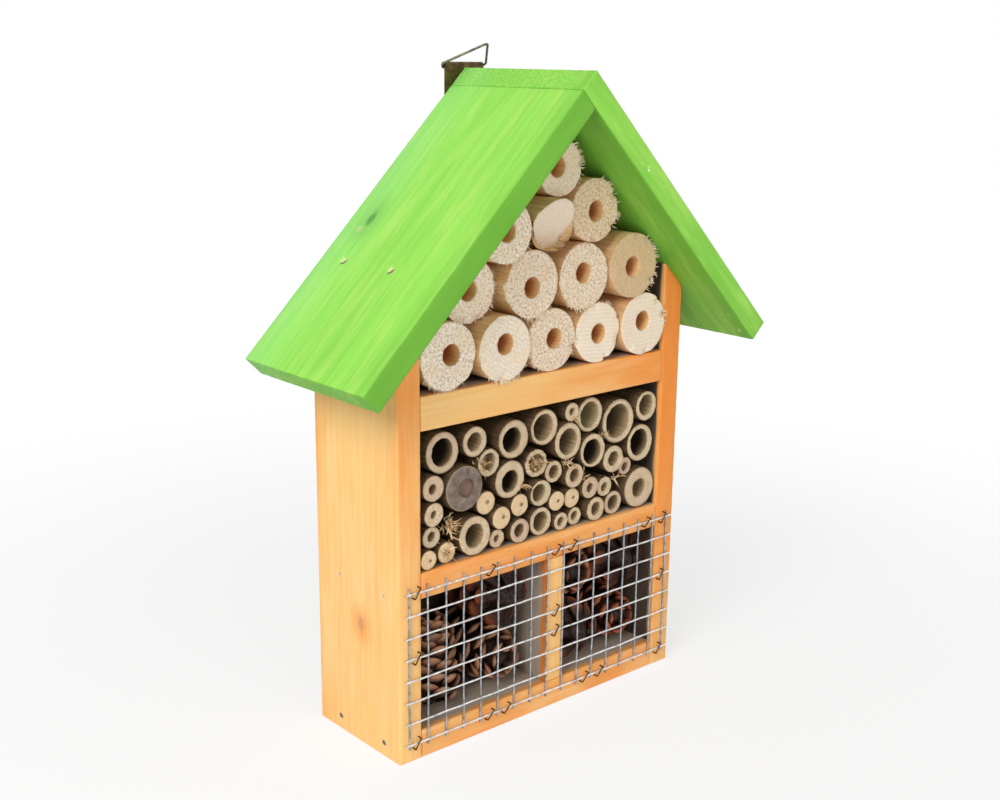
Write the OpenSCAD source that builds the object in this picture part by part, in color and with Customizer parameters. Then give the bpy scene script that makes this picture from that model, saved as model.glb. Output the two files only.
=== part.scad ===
// Wall-hung insect hotel: a small house of nailed softwood boards under a pitched roof.
// Drilled sticks fill the gable, reeds fill the middle, and pine cones lie behind a
// stapled wire mesh at the bottom. A wire ring swings in a rolled eye at the back.
// X runs to the right seen from the front, Y to the back and Z up. The origin is the
// middle of the underside, on which the house stands.

/* [House] */
// Outside width across the two side panels
body_w = 170; // [150:1:190]
// Depth of the side panels from front to back
body_d = 61; // [54:1:80]
// Thickness of the side panels
side_t = 12; // [10:0.5:15]
// Thickness of the floor board
floor_t = 13; // [12:0.5:18]
// Thickness of the lower shelf
lower_shelf_t = 11.5; // [10.5:0.5:16]
// Thickness of the upper shelf
upper_shelf_t = 15; // [10:0.5:20]
// Thickness of the divider between the two cone boxes
divider_t = 11; // [9:0.5:15]
// How far the divider stands to the right of the middle
divider_shift = 6; // [3:0.5:8]
// Thickness of the back panel, which lies between the side panels
back_t = 4; // [2:0.5:6]
// Clear height of the two cone boxes at the bottom
cone_box_h = 61.5; // [55:0.5:75]
// Clear height of the reed box in the middle
reed_box_h = 62.5; // [55:0.5:75]
// Rounding of the long edges of the boards
edge_r = 1.2; // [0.6:0.1:1.6]

/* [Roof] */
// Thickness of the roof boards
roof_t = 11; // [9:0.5:14]
// Length of the right roof board down its slope, from ridge to eave
roof_len = 168; // [155:1:180]
// Overhang of the roof in front of the body
roof_front = 24; // [10:1:35]
// Room between the stacked sticks and the underside of the roof
loft_play = 1.1; // [0.5:0.1:4]

/* [Sticks and reeds] */
// Width of the hole drilled into each stick
stick_bore = 9.5; // [7:0.5:11]
// Depth of that hole
stick_bore_l = 45; // [30:1:48]
// How far the reed ends stand behind the front of the house
reed_inset = 1; // [0:0.5:6]

/* [Mesh and staples] */
// Wire of the mesh
wire_d = 0.9; // [0.8:0.1:1.2]
// Distance between neighbouring wires that the mesh comes closest to
mesh_pitch = 10; // [8:0.5:12]
// How far the mesh reaches over the boards above and below the cone boxes
mesh_lap = 4.25; // [3.5:0.05:5]
// Distance from the outermost upright wire to the side of the house
mesh_inset = 5; // [4:0.5:6]
// Loose wire ends outside the last crossing
wire_tail = 2.5; // [1:0.1:3]
// Wire of the staples
staple_d = 1; // [0.8:0.1:1.2]
// Distance between the two legs of a staple
staple_w = 6; // [5:0.1:8]
// Depth of the staple legs in the wood
staple_leg = 6; // [4:0.5:9]

/* [Nails] */
// Shank of the nails
nail_d = 1.6; // [1.2:0.1:2]
// Head of the nails
nail_head_d = 2.8; // [2.4:0.1:4]
// Height of the nail heads, which are driven flush
nail_head_h = 0.8; // [0.5:0.1:1.2]
// Length of the nails
nail_l = 30; // [24:1:34]
// Length of the nails that hold the thin back panel
back_nail_l = 18; // [14:1:24]

/* [Hanger] */
// Width of the hanger plate
plate_w = 22.5; // [20:0.5:30]
// Thickness of the hanger plate
plate_t = 0.8; // [0.6:0.1:1]
// Height of the flat of the hanger plate below its eye
plate_h = 22; // [20:0.5:28]
// Wire of the hanger ring
ring_d = 1.3; // [1:0.1:1.6]
// Height of the ring from its bar to its tip
ring_h = 20; // [16:0.5:26]
// How far the ring leans to the front from upright
ring_lean = 61; // [0:1:85]
// Shank of the two hanger screws
screw_d = 3; // [2.5:0.1:3.5]
// Length of the hanger screws below their heads
screw_l = 13; // [10:0.5:13]

/* [Fits] */
// Gap between pieces that lie against each other
rest_gap = 0.1; // [0.05:0.05:0.15]
// Gap around each driven nail, screw and staple leg
drive_gap = 0.05; // [0.02:0.01:0.1]
// Running gap around the ring's bar in its eye
eye_gap = 0.08; // [0.05:0.01:0.1]

/* [Hidden] */
$fn = 48;
// How far the shape of a drilled hole runs past the end that it opens
past = 1;

// Colours as on the real object
orange_stain = [0.93, 0.63, 0.32];
green_stain = [0.52, 0.80, 0.30];
bare_wood = [0.88, 0.78, 0.62];
reed_straw = [0.74, 0.65, 0.52];
cone_brown = [0.36, 0.23, 0.16];
galvanised = [0.75, 0.75, 0.78];
bronze = [0.42, 0.34, 0.22];
steel = [0.62, 0.62, 0.64];

// Planes of the house
front_y = -body_d / 2;
back_y = body_d / 2;
inner_w = body_w - 2 * side_t;
fill_back_y = back_y - back_t;
lower_z = floor_t + cone_box_h;
reed_floor_z = lower_z + lower_shelf_t;
upper_z = reed_floor_z + reed_box_h;
loft_z = upper_z + upper_shelf_t;
divider_x0 = divider_shift - divider_t / 2;
divider_x1 = divider_shift + divider_t / 2;

// Distance that the middles of two rods i and j keep, and the heights at which rod i
// would lie on the board or on one of the rods laid before it. x and r list the places
// and half widths of the rods, laid the heights of those that are laid already. Rounding
// by less than the slack doesn't count as an overlap.
lay_slack = 0.001;
function rod_touch(r, i, j) = r[i] + r[j] + rest_gap;
function rod_seats(x, r, i, laid) = concat(
    [r[i] + rest_gap],
    [for (j = [0:1:len(laid) - 1])
        let (gap = rod_touch(r, i, j), dx = x[i] - x[j])
        if (abs(dx) < gap) laid[j] + sqrt(gap * gap - dx * dx)]);
function rod_clear(x, r, i, laid, z) = len([for (j = [0:1:len(laid) - 1])
    if (norm([x[i] - x[j], z - laid[j]]) < rod_touch(r, i, j) - lay_slack) j]) == 0;
function rod_seat(x, r, i, laid) = min([for (z = rod_seats(x, r, i, laid))
    if (z > r[i] && rod_clear(x, r, i, laid, z)) z]);
function lay_rods(x, r, laid = []) = len(laid) == len(x)
    ? laid
    : lay_rods(x, r, concat(laid, [rod_seat(x, r, len(laid), laid)]));

// Drilled sticks in the order in which they are laid in: place along the upper shelf
// from the left and width, for a house of the inner width below. Then how far the end
// stands out of the front, and how far the hole is off the middle, sideways and up.
stick_plan_w = 146;
stick_plan = [
    [15, 29.5, 0, 1.5, 0.5], [44.5, 29, 2, 0, 2], [73.5, 28.5, 0, 1.5, 0.5],
    [102, 28, 0, 0.5, -0.5], [131, 29.5, 1, -0.5, 1.5],
    [29.5, 29, -5, 0, 0], [60.5, 30, 1, 0, -1.5], [91.5, 30, 1, -0.5, 1.5], [122, 30, 2, -0.5, -0.5],
    [44, 27.5, 3, 0, 0], [70, 23.5, 9, 0, 0], [96, 28.5, 2, 1, -0.5],
    [74.5, 25, 2, -1.5, 0.5]];
slanted_stick = 10;
slant_angle = 30;
stick_size = inner_w / stick_plan_w;
stick_r = [for (p = stick_plan) p[1] * stick_size / 2];
stick_x = [for (p = stick_plan) p[0] * stick_size];
stick_z = lay_rods(stick_x, stick_r);
stick_places = [for (i = [0:len(stick_plan) - 1])
    [stick_x[i] - inner_w / 2, loft_z + stick_z[i]]];

// The roof stands at 45 degrees just over the sticks and on the slanted side panels
roof_angle = 45;
slope = sqrt(2);
inner_ridge_z = loft_play * slope + max([for (i = [0:len(stick_places) - 1])
    stick_places[i][1] + abs(stick_places[i][0]) + stick_r[i] * slope]);
ridge_z = inner_ridge_z + roof_t * slope;
side_top_z = inner_ridge_z - inner_w / 2;
roof_y0 = front_y - roof_front;
roof_d = roof_front + body_d;

// Reeds in the order in which they are laid in: place along the shelf from the left,
// outside width and bore, for a box of the size below. A solid reed has no bore.
reed_plan_w = 146;
reed_plan_h = 62.5;
reed_plan = [
    [5, 9, 0], [16, 10, 0], [31, 19, 12], [45, 9, 4], [57, 12, 7], [71, 14, 10],
    [83, 9, 5], [93, 9, 5], [105, 12, 7], [118, 12, 8], [135, 21, 10],
    [8, 10, 5], [46, 11, 0], [58, 11, 0], [80, 10, 0], [91, 10, 0], [101, 11, 5],
    [112, 10, 5], [70, 13, 9], [126, 9, 5],
    [8, 11, 4], [38, 11, 0], [91, 12, 7], [79, 11, 7], [116, 14, 8], [52, 18, 11],
    [25, 21, 0], [136, 19, 14], [102, 17, 13], [68, 14, 0], [8, 12, 5],
    [40, 13, 9], [86, 18, 13], [120, 22, 17], [53, 18, 12], [14, 19, 13], [71, 17, 13],
    [101, 17, 13], [138, 15, 11], [32, 14, 9], [88, 9, 4]];
reed_count = len(reed_plan);
// Reeds at least this wide in the plan are pieces of their own, the others are in two groups
wide_reed = 13;
reed_spread = inner_w / reed_plan_w;
reed_size = min(reed_spread, reed_box_h / reed_plan_h);
reed_r = [for (p = reed_plan) p[1] * reed_size / 2];
reed_x = [for (i = [0:reed_count - 1])
    max(reed_r[i] + rest_gap,
        min(inner_w - reed_r[i] - rest_gap, reed_plan[i][0] * reed_spread))];
reed_z = lay_rods(reed_x, reed_r);
wide_reeds = [for (i = [0:reed_count - 1]) if (reed_plan[i][1] >= wide_reed) i];
thin_reeds = [for (i = [0:reed_count - 1]) if (reed_plan[i][1] < wide_reed) i];
thin_half = len(thin_reeds) / 2;
reed_insets = [0, 1.5, 0.5, 2];

// Pine cones: one stands in the left box, the others lie in pairs, one on the other
cone_gap = 0.4;
cone_front = 2;
cone_behind = 5;
cone_headroom = 15;
widest_cone = 34;
standing_cone_l = cone_box_h - cone_headroom;
lying_cone_d = (cone_box_h - 3 * cone_gap) / 2;
lying_cone_l = body_d - back_t - cone_front - cone_behind;
left_box_w = divider_x0 + inner_w / 2;
standing_cone_d = min(widest_cone, left_box_w - lying_cone_d - 3 * cone_gap);
right_box_w = inner_w / 2 - divider_x1;
right_cone_d = min(lying_cone_d, (right_box_w - 3 * cone_gap) / 2);
left_pair_x = divider_x0 - cone_gap - lying_cone_d / 2
    - (left_box_w - standing_cone_d - lying_cone_d - 3 * cone_gap) / 2;
right_pair_x0 = divider_x1 + cone_gap + right_cone_d / 2;
right_pair_x1 = inner_w / 2 - cone_gap - right_cone_d / 2;
cone_scales = 34;
cone_core = 0.62;
scale_rise = 25;
scale_t = 2;
scale_span = 0.8;
golden_angle = 137.5;
// Outline of a scale: its root and shoulders as shares of its reach, its half width as a
// share of how far it stands out and what comes on top, and the root's share of that
scale_root = 0.3;
scale_shoulder = 0.8;
scale_breadth = 0.3;
scale_extra = 1;
scale_waist = 0.6;
// For each lying cone: its place along the floor, its layer, its width and the way it points
lying_cones = [
    [left_pair_x, 0, lying_cone_d, 1], [left_pair_x, 1, lying_cone_d, -1],
    [right_pair_x0, 0, right_cone_d, -1], [right_pair_x1, 0, right_cone_d, 1],
    [right_pair_x0, 1, right_cone_d, 1], [right_pair_x1, 1, right_cone_d, -1]];
function cone_z(p) = floor_t + cone_gap + p[2] / 2 + p[1] * (p[2] + cone_gap);

// Wire mesh over the cone boxes, its upright wires against the wood
mesh_w = body_w - 2 * mesh_inset;
mesh_h = cone_box_h + 2 * mesh_lap;
mesh_columns = round(mesh_w / mesh_pitch);
mesh_rows = round(mesh_h / mesh_pitch);
wire_weld = 0.3;
upright_y = front_y - rest_gap - wire_d / 2;
cross_y = upright_y - wire_d + wire_weld;
mesh_z0 = floor_t - mesh_lap;
function mesh_x(i) = (i / mesh_columns - 0.5) * mesh_w;
function mesh_z(j) = mesh_z0 + j / mesh_rows * mesh_h;
function mesh_cell_x(share) = mesh_x(floor(share * mesh_columns) + 0.5);

// Staples over the cross wires: on the sides, the divider, the lower shelf and the floor
crown_y = cross_y - wire_d / 2 - rest_gap - staple_d / 2;
side_tilt = 30;
board_tilt = 45;
side_staple_x = (inner_w / 2 + mesh_x(mesh_columns)) / 2;
middle_row_share = 0.57;
middle_row = round(middle_row_share * mesh_rows);
divider_cell = (divider_shift + mesh_w / 2) / mesh_w;
staple_edge = 3;
divider_staple_x = max(divider_x0 + staple_edge,
    min(divider_x1 - staple_edge, mesh_cell_x(divider_cell)));
shelf_shares = [0.28, 0.53, 0.6, 0.9];
floor_shares = [0.28, 0.34, 0.65, 0.71];
side_staples = [for (sx = [-1, 1], j = [0, middle_row, mesh_rows])
    [sx * side_staple_x, mesh_z(j), side_tilt]];
divider_staples = [for (j = [middle_row - 1, middle_row])
    [divider_staple_x, mesh_z(j), side_tilt]];
shelf_staples = [for (share = shelf_shares)
    [mesh_cell_x(share), mesh_z(mesh_rows), board_tilt]];
floor_staples = [for (share = floor_shares)
    [mesh_cell_x(share), mesh_z(0), board_tilt]];

// Nails: one row behind the front of the house and one before its back, and the depth
// to which the roof nails are punched
nail_front = 12;
nail_back = 16;
nail_rows = [front_y + nail_front, back_y - nail_back];
board_nail_z = [floor_t / 2, lower_z + lower_shelf_t / 2, upper_z + upper_shelf_t / 2];
back_nail_share = 0.31;
back_nail_x = inner_w * back_nail_share;
roof_nail_x = (body_w - side_t) / 2;
roof_nail_z = ridge_z - roof_nail_x - nail_head_d / 2;
ridge_nail_y0 = roof_y0 + nail_front;
ridge_nail_back = 23;
ridge_nail_y1 = back_y - ridge_nail_back;
ridge_nail_rows = [ridge_nail_y0, (ridge_nail_y0 + ridge_nail_y1) / 2, ridge_nail_y1];

// Hanger: the eye lies just above the ridge and behind the back of the roof
eye_r = ring_d / 2 + eye_gap;
eye_out_r = eye_r + plate_t;
eye_rise = 0.8;
pivot = [0, back_y + eye_out_r, ridge_z + eye_rise];
ring_slip = 0.4;
ring_w = (plate_w + 2 * ring_slip + 1.2 * ring_d) / (1 - (eye_out_r + ring_slip) / ring_h);
ring_knee = ring_d + 0.3;
screw_x = 7;
screw_drop = 14.6;
screw_z = ridge_z - screw_drop;
screw_head_d = 5.5;
screw_head_h = 1.2;

// Outline of a planed board, w by t, with rounded corners
module eased_rect(w, t) {
    translate([edge_r, 0])
        square([w - 2 * edge_r, t]);
    translate([0, edge_r])
        square([w, t - 2 * edge_r]);
    for (x = [edge_r, w - edge_r], y = [edge_r, t - edge_r])
        translate([x, y])
            circle(edge_r);
}

// A shelf between the side panels at height z
module shelf_board(z, t) {
    translate([-inner_w / 2, front_y, z])
        rotate([90, 0, 90])
            linear_extrude(inner_w)
                eased_rect(body_d - back_t, t);
}

// A nail with its head at the origin and its shank down -Z, or the hole for it
module nail(l, gap = 0) {
    translate([0, 0, -l])
        cylinder(d = nail_d + 2 * gap, h = l);
    translate([0, 0, -nail_head_h - gap])
        cylinder(d = nail_head_d + 2 * gap, h = nail_head_h + 2 * gap);
}

// Places of the nails of one side: sx is -1 on the left and 1 on the right
module at_side_nails(sx) {
    for (y = nail_rows, z = board_nail_z)
        translate([sx * body_w / 2, y, z])
            rotate([0, sx * 90, 0])
                children();
}

module at_roof_nails(sx) {
    for (y = nail_rows)
        translate([sx * roof_nail_x, y, roof_nail_z])
            children();
}

module at_ridge_nails() {
    for (y = ridge_nail_rows)
        translate([0, y, ridge_z])
            rotate([0, roof_angle, 0])
                translate([roof_t / 2, 0, 0])
                    children();
}

module at_back_nails() {
    for (sx = [-1, 1], z = board_nail_z)
        translate([sx * back_nail_x, back_y, z])
            rotate([-90, 0, 0])
                children();
}

module at_divider_nails() {
    for (y = nail_rows) {
        translate([divider_shift, y, 0])
            mirror([0, 0, 1])
                children();
        translate([divider_shift, y, reed_floor_z])
            children();
    }
}

// Places of the staples in a list, with the crown along X and the legs along +Y
module at_staples(places) {
    for (p = places)
        translate([p[0], 0, p[1]])
            rotate([0, p[2] - 90, 0])
                children();
}

module staple_legs(gap = 0) {
    for (sx = [-1, 1])
        translate([sx * staple_w / 2, crown_y, 0])
            rotate([-90, 0, 0])
                cylinder(d = staple_d + 2 * gap, h = front_y + staple_leg - crown_y);
}

module staple() {
    staple_legs();
    translate([-staple_w / 2, crown_y, 0])
        rotate([0, 90, 0])
            cylinder(d = staple_d, h = staple_w);
    for (sx = [-1, 1])
        translate([sx * staple_w / 2, crown_y, 0])
            sphere(d = staple_d);
}

// Everything outside one slope of the roof's underside
module above_roof_line(sx) {
    mirror([sx < 0 ? 1 : 0, 0, 0])
        translate([0, 0, inner_ridge_z])
            rotate([0, roof_angle, 0])
                translate([0, -body_d, 0])
                    cube([body_w, 2 * body_d, body_w]);
}

module side_panel(sx) {
    color(orange_stain)
        difference() {
            translate([sx > 0 ? inner_w / 2 : -body_w / 2, front_y, 0])
                linear_extrude(side_top_z)
                    eased_rect(side_t, body_d);
            above_roof_line(sx);
            at_side_nails(sx)
                nail(nail_l, drive_gap);
            at_roof_nails(sx)
                nail(nail_l, drive_gap);
            at_staples([for (p = side_staples) if (p[0] * sx > 0) p])
                staple_legs(drive_gap);
        }
}

module floor_board() {
    color(orange_stain)
        difference() {
            shelf_board(0, floor_t);
            for (sx = [-1, 1])
                at_side_nails(sx)
                    nail(nail_l, drive_gap);
            at_back_nails()
                nail(back_nail_l, drive_gap);
            at_divider_nails()
                nail(nail_l, drive_gap);
            at_staples(floor_staples)
                staple_legs(drive_gap);
        }
}

module lower_shelf() {
    color(orange_stain)
        difference() {
            shelf_board(lower_z, lower_shelf_t);
            for (sx = [-1, 1])
                at_side_nails(sx)
                    nail(nail_l, drive_gap);
            at_back_nails()
                nail(back_nail_l, drive_gap);
            at_divider_nails()
                nail(nail_l, drive_gap);
            at_staples(shelf_staples)
                staple_legs(drive_gap);
        }
}

module upper_shelf() {
    color(orange_stain)
        difference() {
            shelf_board(upper_z, upper_shelf_t);
            for (sx = [-1, 1])
                at_side_nails(sx)
                    nail(nail_l, drive_gap);
            at_back_nails()
                nail(back_nail_l, drive_gap);
        }
}

module divider() {
    color(orange_stain)
        difference() {
            translate([divider_x0, front_y, floor_t])
                linear_extrude(cone_box_h)
                    eased_rect(divider_t, body_d - back_t);
            at_divider_nails()
                nail(nail_l, drive_gap);
            at_staples(divider_staples)
                staple_legs(drive_gap);
        }
}

// The back panel closes the house behind the shelves, up to the roof
module back_panel() {
    half = inner_w / 2 - rest_gap;
    peak = inner_ridge_z - rest_gap * slope;
    color(bare_wood)
        difference() {
            translate([0, back_y, 0])
                rotate([90, 0, 0])
                    linear_extrude(back_t)
                        polygon([[-half, 0], [half, 0], [half, peak - half],
                            [0, peak], [-half, peak - half]]);
            at_back_nails()
                nail(back_nail_l, drive_gap);
        }
}

// A roof board on the right slope that starts the distance u0 below the ridge
module roof_board(u0) {
    translate([0, roof_y0, ridge_z])
        rotate([0, roof_angle, 0])
            translate([u0, 0, -roof_t])
                rotate([90, 0, 90])
                    linear_extrude(roof_len - u0)
                        eased_rect(roof_d, roof_t);
}

// Round holes for the punched roof nails, open to the slope above them
module roof_nail_sinks(sx) {
    at_roof_nails(sx) {
        nail(nail_l, drive_gap);
        cylinder(d = nail_head_d + 2 * drive_gap, h = 2 * nail_head_d);
    }
}

module screw_holes() {
    for (sx = [-1, 1])
        translate([sx * screw_x, back_y + plate_t, screw_z])
            rotate([90, 0, 0])
                cylinder(d = screw_d + 2 * drive_gap, h = screw_l + drive_gap);
}

module roof_board_left() {
    color(green_stain)
        difference() {
            mirror([1, 0, 0])
                roof_board(roof_t);
            roof_nail_sinks(-1);
            at_ridge_nails()
                nail(nail_l, drive_gap);
            screw_holes();
        }
}

module roof_board_right() {
    color(green_stain)
        difference() {
            roof_board(0);
            roof_nail_sinks(1);
            at_ridge_nails()
                nail(nail_l, drive_gap);
            screw_holes();
        }
}

module side_nails() {
    color(steel)
        for (sx = [-1, 1])
            at_side_nails(sx)
                nail(nail_l - drive_gap);
}

module divider_nails() {
    color(steel)
        at_divider_nails()
            nail(nail_l - drive_gap);
}

module back_nails() {
    color(steel)
        at_back_nails()
            nail(back_nail_l - drive_gap);
}

module roof_nails() {
    color(steel) {
        for (sx = [-1, 1])
            at_roof_nails(sx)
                nail(nail_l - drive_gap);
        at_ridge_nails()
            nail(nail_l - drive_gap);
    }
}

// A stick lies front to back against the back panel. Its hole is drilled from the
// front. The slanted one has no hole, and its end is sawn off askew.
module drilled_stick(i) {
    place = stick_places[i];
    r = stick_r[i];
    hole = [stick_plan[i][3], stick_plan[i][4]];
    end_y = front_y - stick_plan[i][2];
    length = fill_back_y - rest_gap - end_y;
    color(bare_wood)
        translate([place[0], end_y, place[1]])
            difference() {
                rotate([-90, 0, 0])
                    cylinder(r = r, h = length);
                if (i == slanted_stick)
                    translate([-2 * r, 0, r])
                        rotate([slant_angle, 0, 0])
                            translate([0, -4 * r, -4 * r])
                                cube([4 * r, 4 * r, 8 * r]);
                else
                    translate([hole[0], -past, hole[1]])
                        rotate([-90, 0, 0])
                            cylinder(d = stick_bore, h = stick_bore_l + past);
            }
}

// A reed lies front to back on the reeds below it
module reed(i) {
    end_y = front_y + reed_inset + reed_insets[i % len(reed_insets)];
    length = fill_back_y - rest_gap - end_y;
    bore = reed_plan[i][2] * reed_size;
    color(reed_straw)
        translate([reed_x[i] - inner_w / 2, end_y, reed_floor_z + reed_z[i]])
            rotate([-90, 0, 0])
                difference() {
                    cylinder(r = reed_r[i], h = length);
                    if (bore > 0)
                        translate([0, 0, -past])
                            cylinder(d = bore, h = length + 2 * past);
                }
}

module reed_group(indices) {
    for (i = indices)
        reed(i);
}

// Half width of a cone, as a share, at the share s of its length from the stem
function cone_swell(s) = pow(sin(180 * pow(0.05 + 0.9 * s, 0.8)), 0.6);

// One woody scale, reaching r out from the axis and rising to the tip of the cone
module cone_scale(r) {
    half_w = scale_breadth * r + scale_extra;
    root_w = scale_waist * half_w;
    tip = r / cos(scale_rise);
    hull()
        rotate([0, -scale_rise, 0])
            linear_extrude(scale_t)
                polygon([[scale_root * tip, -root_w], [scale_shoulder * tip, -half_w], [tip, 0],
                    [scale_shoulder * tip, half_w], [scale_root * tip, root_w]]);
}

// A pine cone from its stem at the origin up +Z, its scales in a golden-angle spiral
module pine_cone(l, d) {
    rings = 7;
    core_r = cone_core * d / 2;
    color(cone_brown) {
        rotate_extrude($fn = 10)
            polygon(concat([[0, 0]],
                [for (k = [0:rings]) [core_r * cone_swell(k / rings), l * k / rings]],
                [[0, l]]));
        for (k = [0:cone_scales - 1]) {
            s = (k + 0.5) / cone_scales;
            translate([0, 0, scale_span * s * l])
                rotate([0, 0, k * golden_angle])
                    cone_scale(d / 2 * cone_swell(s));
        }
    }
}

module standing_cone() {
    translate([-inner_w / 2 + cone_gap + standing_cone_d / 2,
            front_y + cone_front + standing_cone_d / 2, floor_t + rest_gap])
        pine_cone(standing_cone_l, standing_cone_d);
}

module lying_cone(p) {
    translate([p[0], front_y + cone_front + lying_cone_l * (1 + p[3]) / 2, cone_z(p)])
        rotate([p[3] * 90, 0, 0])
            pine_cone(lying_cone_l, p[2]);
}

module wire_mesh() {
    color(galvanised) {
        for (i = [0:mesh_columns])
            translate([mesh_x(i), upright_y, mesh_z0 - wire_tail])
                cylinder(d = wire_d, h = mesh_h + 2 * wire_tail, $fn = 6);
        for (j = [0:mesh_rows])
            translate([-mesh_w / 2 - wire_tail, cross_y, mesh_z(j)])
                rotate([0, 90, 0])
                    cylinder(d = wire_d, h = mesh_w + 2 * wire_tail, $fn = 6);
    }
}

module mesh_staples() {
    color(bronze)
        at_staples(concat(side_staples, divider_staples, shelf_staples, floor_staples))
            staple();
}

// A strap plate on the back of the roof, its top rolled into an eye for the ring
module hanger_plate() {
    color(bronze)
        difference() {
            translate([-plate_w / 2, pivot[1], pivot[2]])
                rotate([90, 0, 90])
                    linear_extrude(plate_w)
                        difference() {
                            union() {
                                circle(eye_out_r);
                                translate([-eye_out_r, -plate_h])
                                    square([plate_t, plate_h]);
                            }
                            circle(eye_r);
                        }
            screw_holes();
        }
}

// A straight length of the ring's wire from p to q, with the thicker knee at p
module ring_wire(p, q) {
    way = q - p;
    l = norm(way);
    translate(p) {
        sphere(d = ring_knee);
        rotate([0, acos(way[2] / l), atan2(way[1], way[0])])
            cylinder(d = ring_d, h = l);
    }
}

module hanger_ring() {
    left = [-ring_w / 2, 0, 0];
    right = [ring_w / 2, 0, 0];
    tip = [0, 0, ring_h];
    color(steel)
        translate(pivot)
            rotate([ring_lean, 0, 0]) {
                ring_wire(left, right);
                ring_wire(right, tip);
                ring_wire(tip, left);
            }
}

module hanger_screws() {
    color(steel)
        for (sx = [-1, 1])
            translate([sx * screw_x, back_y + plate_t, screw_z]) {
                rotate([90, 0, 0])
                    cylinder(d = screw_d, h = screw_l);
                rotate([-90, 0, 0])
                    cylinder(d = screw_head_d, h = screw_head_h);
            }
}

// Name of the piece number i of a row of like pieces, counted from 1
function two_digits(word, i) = str(word, i < 9 ? "_0" : "_", i + 1);

side_panel(-1);  // side_panel_left
side_panel(1);  // side_panel_right
floor_board();
lower_shelf();
upper_shelf();
divider();
back_panel();
roof_board_left();
roof_board_right();
side_nails();
divider_nails();
back_nails();
roof_nails();
for (i = [0:len(stick_places) - 1])
    drilled_stick(i);
for (k = [0:len(wide_reeds) - 1])
    reed(wide_reeds[k]);
reed_group([for (k = [0:thin_half - 1]) thin_reeds[k]]);  // thin_reeds_low
reed_group([for (k = [thin_half:len(thin_reeds) - 1]) thin_reeds[k]]);  // thin_reeds_high
standing_cone();  // pine_cone_1
for (k = [0:len(lying_cones) - 1])
    lying_cone(lying_cones[k]);
wire_mesh();
mesh_staples();
hanger_plate();
hanger_ring();
hanger_screws();
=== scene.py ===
import math

import bpy
import numpy as np
from mathutils import Euler, Matrix, Vector, noise


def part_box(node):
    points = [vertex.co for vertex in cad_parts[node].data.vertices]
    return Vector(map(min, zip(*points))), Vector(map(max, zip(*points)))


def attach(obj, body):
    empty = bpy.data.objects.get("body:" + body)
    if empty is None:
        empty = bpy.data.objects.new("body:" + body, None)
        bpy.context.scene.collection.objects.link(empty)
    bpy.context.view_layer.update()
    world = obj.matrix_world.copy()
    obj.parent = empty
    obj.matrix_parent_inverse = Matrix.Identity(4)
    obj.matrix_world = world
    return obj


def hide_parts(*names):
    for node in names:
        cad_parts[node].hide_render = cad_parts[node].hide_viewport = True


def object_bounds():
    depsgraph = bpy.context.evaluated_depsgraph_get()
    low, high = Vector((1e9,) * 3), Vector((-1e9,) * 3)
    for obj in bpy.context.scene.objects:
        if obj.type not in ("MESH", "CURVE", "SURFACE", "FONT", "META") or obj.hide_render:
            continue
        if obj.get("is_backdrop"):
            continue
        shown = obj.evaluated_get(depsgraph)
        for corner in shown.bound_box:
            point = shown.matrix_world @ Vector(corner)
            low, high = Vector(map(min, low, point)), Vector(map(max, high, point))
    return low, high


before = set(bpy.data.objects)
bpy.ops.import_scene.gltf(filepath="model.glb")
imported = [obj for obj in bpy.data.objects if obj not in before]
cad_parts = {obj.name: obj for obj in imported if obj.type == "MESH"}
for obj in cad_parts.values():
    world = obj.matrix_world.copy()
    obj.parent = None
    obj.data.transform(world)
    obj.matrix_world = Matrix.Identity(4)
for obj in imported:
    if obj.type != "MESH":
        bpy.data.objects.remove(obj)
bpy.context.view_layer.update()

# Side panels, floor, shelves and divider: planed softwood boards butted and nailed together.
# The finished house was sprayed with a thin orange stain, so the grain shows through it
# and the inner faces are stained only near the front and bare further in, where the bare
# wood is painted darker as painted shade.
MM = 0.001


def colour(code):
    parts = [int(code[k:k + 2], 16) / 255 for k in (0, 2, 4)]
    return tuple(c / 12.92 if c <= 0.04045 else ((c + 0.055) / 1.055) ** 2.4 for c in parts) + (1.0,)


def put(tree, kind, inputs=None, **settings):
    node = tree.nodes.new(kind)
    for key, value in settings.items():
        setattr(node, key, value)
    for key, value in (inputs or {}).items():
        if isinstance(value, bpy.types.Node):
            value = value.outputs[0]
        elif isinstance(value, str) and node.inputs[key].type == "RGBA":
            value = colour(value)
        if isinstance(value, bpy.types.NodeSocket):
            tree.links.new(value, node.inputs[key])
        else:
            node.inputs[key].default_value = value
    return node


def calc(tree, operation, a, b=0.0, c=0.0):
    return put(tree, "ShaderNodeMath", {0: a, 1: b, 2: c}, operation=operation).outputs[0]


def times(tree, a, b):
    return calc(tree, "MULTIPLY", a, b)


def mixed(tree, amount, a, b, mode="MIX"):
    node = put(tree, "ShaderNodeMix", {0: amount, 6: a, 7: b}, data_type="RGBA", blend_type=mode)
    return node.outputs[2]


def remap(tree, value, low, high, a=0.0, b=1.0):
    node = put(tree, "ShaderNodeMapRange", {0: value, 1: low, 2: high, 3: a, 4: b},
               interpolation_type="SMOOTHSTEP")
    return node.outputs[0]


def carried(tree, name, output="Fac"):
    return put(tree, "ShaderNodeAttribute", attribute_name=name).outputs[output]


def stretched(tree, vector, scale):
    return put(tree, "ShaderNodeMapping", {"Vector": vector, "Scale": scale}).outputs[0]


def speckle(tree, vector, scale, detail=4.0, rough=0.55):
    return put(tree, "ShaderNodeTexNoise",
               {"Vector": vector, "Scale": scale, "Detail": detail, "Roughness": rough}).outputs[0]


def fresh(name):
    material = bpy.data.materials.new(name)
    material.use_nodes = True
    material.node_tree.nodes.clear()
    return material, material.node_tree


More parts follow.
